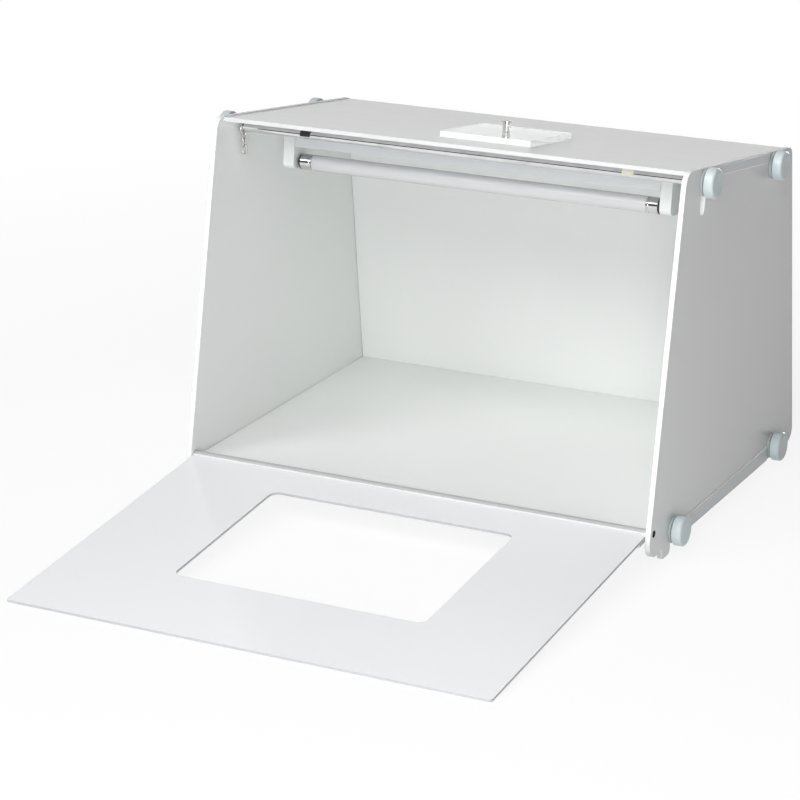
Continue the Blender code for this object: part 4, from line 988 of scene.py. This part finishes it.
PLATE_ROUND = 0.0006
PLATE_THICKNESS = 0.006
PLATE_PLAY = 0.0003
ACRYLIC_COLOUR = (0.97, 0.985, 0.99, 1.0)
ACRYLIC_EDGE_COLOUR = (0.95, 0.95, 0.95, 1.0)
ACRYLIC_INDEX = 1.25
ACRYLIC_SHINE = 0.2
ACRYLIC_EDGE_CLEARNESS = 0.15
SMEAR_SCALE = 60.0
SMEAR_DETAIL = 5.0
SMEAR_ROUGHNESS = (0.01, 0.06)
SAW_MARK_SCALE = 320.0
SAW_MARK_WANDER = 1.5
SAW_ROUGHNESS = (0.30, 0.48)

clear_acrylic = bpy.data.materials.new("clear_acrylic")
clear_acrylic.use_nodes = True
tree = clear_acrylic.node_tree
shader = tree.nodes["Principled BSDF"]
shader.inputs["Base Color"].default_value = ACRYLIC_COLOUR
shader.inputs["Transmission Weight"].default_value = 1.0
shader.inputs["IOR"].default_value = ACRYLIC_INDEX
shader.inputs["Specular IOR Level"].default_value = ACRYLIC_SHINE
place = tree.nodes.new("ShaderNodeTexCoord")
smears = tree.nodes.new("ShaderNodeTexNoise")
smears.inputs["Scale"].default_value = SMEAR_SCALE
smears.inputs["Detail"].default_value = SMEAR_DETAIL
film = tree.nodes.new("ShaderNodeMapRange")
film.inputs["To Min"].default_value, film.inputs["To Max"].default_value = SMEAR_ROUGHNESS
tree.links.new(place.outputs["Object"], smears.inputs["Vector"])
tree.links.new(smears.outputs["Fac"], film.inputs["Value"])
tree.links.new(film.outputs["Result"], shader.inputs["Roughness"])

sawn_acrylic = bpy.data.materials.new("sawn_acrylic")
sawn_acrylic.use_nodes = True
tree = sawn_acrylic.node_tree
shader = tree.nodes["Principled BSDF"]
shader.inputs["Base Color"].default_value = ACRYLIC_EDGE_COLOUR
shader.inputs["Transmission Weight"].default_value = ACRYLIC_EDGE_CLEARNESS
shader.inputs["IOR"].default_value = ACRYLIC_INDEX
place = tree.nodes.new("ShaderNodeTexCoord")
saw = tree.nodes.new("ShaderNodeTexWave")
saw.bands_direction = "DIAGONAL"
saw.inputs["Scale"].default_value = SAW_MARK_SCALE
saw.inputs["Distortion"].default_value = SAW_MARK_WANDER
matt = tree.nodes.new("ShaderNodeMapRange")
matt.inputs["To Min"].default_value, matt.inputs["To Max"].default_value = SAW_ROUGHNESS
tree.links.new(place.outputs["Object"], saw.inputs["Vector"])
tree.links.new(saw.outputs["Fac"], matt.inputs["Value"])
tree.links.new(matt.outputs["Result"], shader.inputs["Roughness"])

plate = cut_from_solid("cover_plate", "cover_plate_sheet", PLATE_ROUND)
fixed_to(plate, "cover", "clear_acrylic", clear_acrylic, "cover_plate")
sawn_edges(plate, TOP_NORMAL, sawn_acrylic)
for face in plate.data.polygons:
    if abs(face.normal.x) > SQUARE_SHARE:
        face.material_index = 0

# Thumb screw
# Turned brass, chromed, with straight knurling and a wider flange on top. Its shank goes through
# the cover plate and the top panel into a nut below.

THUMB_FACETS = 96
THUMB_BODY_RADIUS = 0.0039
THUMB_KNURL_SCALE = 0.93
THUMB_KNURL_TURNS = 4
THUMB_HEAD_RADIUS = 0.0049
THUMB_WAIST_RADIUS = 0.0033
THUMB_BODY_HEIGHT = 0.0088
THUMB_HEAD_HEIGHT = 0.002
THUMB_SHANK_RADIUS = 0.0019
THUMB_TAIL = 0.0145
THUMB_ROUND = 0.0005
THUMB_DISH = 0.0004
THUMB_EDGE_ANGLE = math.radians(25)

dark_chrome = metal_finish(
    "dark_chrome", colour=(0.68, 0.67, 0.65, 1.0), tarnish=(0.50, 0.49, 0.47, 1.0),
    roughness=0.12, spread=0.06, depth=0.000001, stretch=EVEN_STRETCH,
)
body_top = THUMB_BODY_HEIGHT
head_top = THUMB_BODY_HEIGHT + THUMB_HEAD_HEIGHT
thumb = turned_piece("thumb_screw_knurled", [
    (THUMB_SHANK_RADIUS, -THUMB_TAIL), (THUMB_SHANK_RADIUS, 0),
    (THUMB_BODY_RADIUS - THUMB_ROUND, 0), (THUMB_BODY_RADIUS, THUMB_ROUND),
    (THUMB_BODY_RADIUS, body_top - 4 * THUMB_ROUND),
    (THUMB_WAIST_RADIUS, body_top - 3 * THUMB_ROUND), (THUMB_WAIST_RADIUS, body_top),
    (THUMB_HEAD_RADIUS - THUMB_ROUND / 2, body_top),
    (THUMB_HEAD_RADIUS, body_top + THUMB_ROUND / 2),
    (THUMB_HEAD_RADIUS, head_top - THUMB_ROUND), (THUMB_HEAD_RADIUS - THUMB_ROUND, head_top),
    (THUMB_WAIST_RADIUS, head_top), (THUMB_WAIST_RADIUS - THUMB_ROUND, head_top - THUMB_DISH),
], THUMB_FACETS)
only_select(thumb)
bpy.ops.object.mode_set(mode="EDIT")
bpy.ops.mesh.select_all(action="DESELECT")
bpy.ops.object.mode_set(mode="OBJECT")
for vertex in thumb.data.vertices:
    radius = math.hypot(vertex.co.x, vertex.co.y)
    step = round(math.atan2(vertex.co.y, vertex.co.x) / (2 * math.pi / THUMB_FACETS))
    on_wall = abs(radius - THUMB_BODY_RADIUS) < MERGE_DISTANCE
    vertex.select = on_wall and step % THUMB_KNURL_TURNS < THUMB_KNURL_TURNS / 2
bpy.ops.object.mode_set(mode="EDIT")
bpy.ops.transform.resize(value=(THUMB_KNURL_SCALE, THUMB_KNURL_SCALE, 1))
bpy.ops.object.mode_set(mode="OBJECT")
plate_low, plate_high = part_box("cover_plate")
screw_seat = (plate_low + plate_high) / 2 + TOP_NORMAL * (PLATE_THICKNESS / 2 + PLATE_PLAY)
set_in_place(thumb, screw_seat, (-TOP_SLOPE, 0, 0))
smoothed(thumb, THUMB_EDGE_ANGLE)
fixed_to(thumb, "screw", "bright_metal", dark_chrome, "thumb_screw")

# Clips on the top front rod
# Two snap clips of bent strip, one black and one cream, that hold a background cloth to the rod.

CLIP_ROUND = 0.0002

cream_plastic = plastic_finish(
    "cream_plastic", colour=(0.84, 0.81, 0.70, 1.0), shade=(0.78, 0.75, 0.63, 1.0),
    edge_tone=(0.90, 0.88, 0.80, 1.0), roughness=0.30, spread=0.10, grain_scale=1500.0,
    grain_depth=0.00001, edge_reach=0.0003,
)
black_clip = cut_from_solid("black_clip", "black_clip_strip", CLIP_ROUND)
fixed_to(black_clip, "black_clip", "black_plastic", dark_plastic, "black_clip")
white_clip = cut_from_solid("white_clip", "white_clip_strip", CLIP_ROUND)
fixed_to(white_clip, "white_clip", "cream_plastic", cream_plastic, "white_clip")

# Chain at the rod's left end
# A ring of plated wire hangs on the rod, with three welded links below it, each turned a quarter
# from the one above.

WIRE_RADIUS = 0.0008
RING_LOOP_RADIUS = 0.0063
LINK_END_RADIUS = 0.0023
LINK_HALF_STRAIGHT = 0.0019
LOOP_FACETS = 48
WIRE_FACETS = 16


def wire_ring(name, loop_radius, upright_turn):
    """A torus whose hole looks along Y or along X."""
    bpy.ops.object.select_all(action="DESELECT")
    bpy.ops.mesh.primitive_torus_add(
        major_radius=loop_radius, minor_radius=WIRE_RADIUS, major_segments=LOOP_FACETS,
        minor_segments=WIRE_FACETS, rotation=upright_turn,
    )
    ring = bpy.context.object
    ring.name = name
    bpy.ops.object.transform_apply(location=True, rotation=True, scale=True)
    return ring


HOLE_ALONG_Y = (math.pi / 2, 0, 0)
HOLE_ALONG_X = (0, math.pi / 2, 0)

ring = wire_ring("chain_ring_wire", RING_LOOP_RADIUS, HOLE_ALONG_X)
set_in_place(ring, middle_of("chain_ring"))
smoothed(ring)
fixed_to(ring, "ring", "bright_metal", dark_chrome, "chain_ring")
for number, turn in ((1, HOLE_ALONG_Y), (2, HOLE_ALONG_X), (3, HOLE_ALONG_Y)):
    node = f"chain_link_{number}"
    link = wire_ring(node + "_wire", LINK_END_RADIUS, turn)
    for way in (1, -1):
        only_select(link)
        bpy.ops.object.mode_set(mode="EDIT")
        bpy.ops.mesh.select_all(action="DESELECT")
        bpy.ops.object.mode_set(mode="OBJECT")
        for vertex in link.data.vertices:
            vertex.select = vertex.co.z * way > MERGE_DISTANCE
        bpy.ops.object.mode_set(mode="EDIT")
        bpy.ops.transform.translate(value=(0, 0, way * LINK_HALF_STRAIGHT))
        bpy.ops.object.mode_set(mode="OBJECT")
    set_in_place(link, middle_of(node))
    smoothed(link)
    fixed_to(link, f"link_{number}", "bright_metal", dark_chrome, node)

# Rear feet
# Two turned rubber feet under the floor panel, with a ribbed side and a chamfered tread.

FOOT_RADIUS = 0.009
FOOT_CHAMFER = 0.0015
FOOT_RIB = 0.0006
FOOT_RIB_PITCH = 0.004

foot_rubber = plastic_finish(
    "foot_rubber", colour=(0.13, 0.135, 0.135, 1.0), shade=(0.17, 0.175, 0.175, 1.0),
    edge_tone=(0.24, 0.24, 0.24, 1.0), roughness=0.62, spread=0.14, grain_scale=1300.0,
    grain_depth=0.00003, patch_scale=40.0,
)
for node in ("rear_foot_left", "rear_foot_right"):
    low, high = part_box(node)
    height = high.z - low.z
    rings = [(FOOT_RADIUS - FOOT_CHAMFER, 0), (FOOT_RADIUS, FOOT_CHAMFER)]
    level = FOOT_RIB_PITCH
    while level + FOOT_RIB_PITCH < height:
        rings += [
            (FOOT_RADIUS, level - FOOT_RIB), (FOOT_RADIUS - FOOT_RIB, level),
            (FOOT_RADIUS, level + FOOT_RIB),
        ]
        level += FOOT_RIB_PITCH
    rings.append((FOOT_RADIUS, height))
    foot = turned_piece(node + "_tread", rings, ROUND_FACETS)
    spot = middle_of(node)
    set_in_place(foot, (spot.x, spot.y, low.z))
    smoothed(foot)
    fixed_to(foot, "box", "foot_rubber", foot_rubber, node)
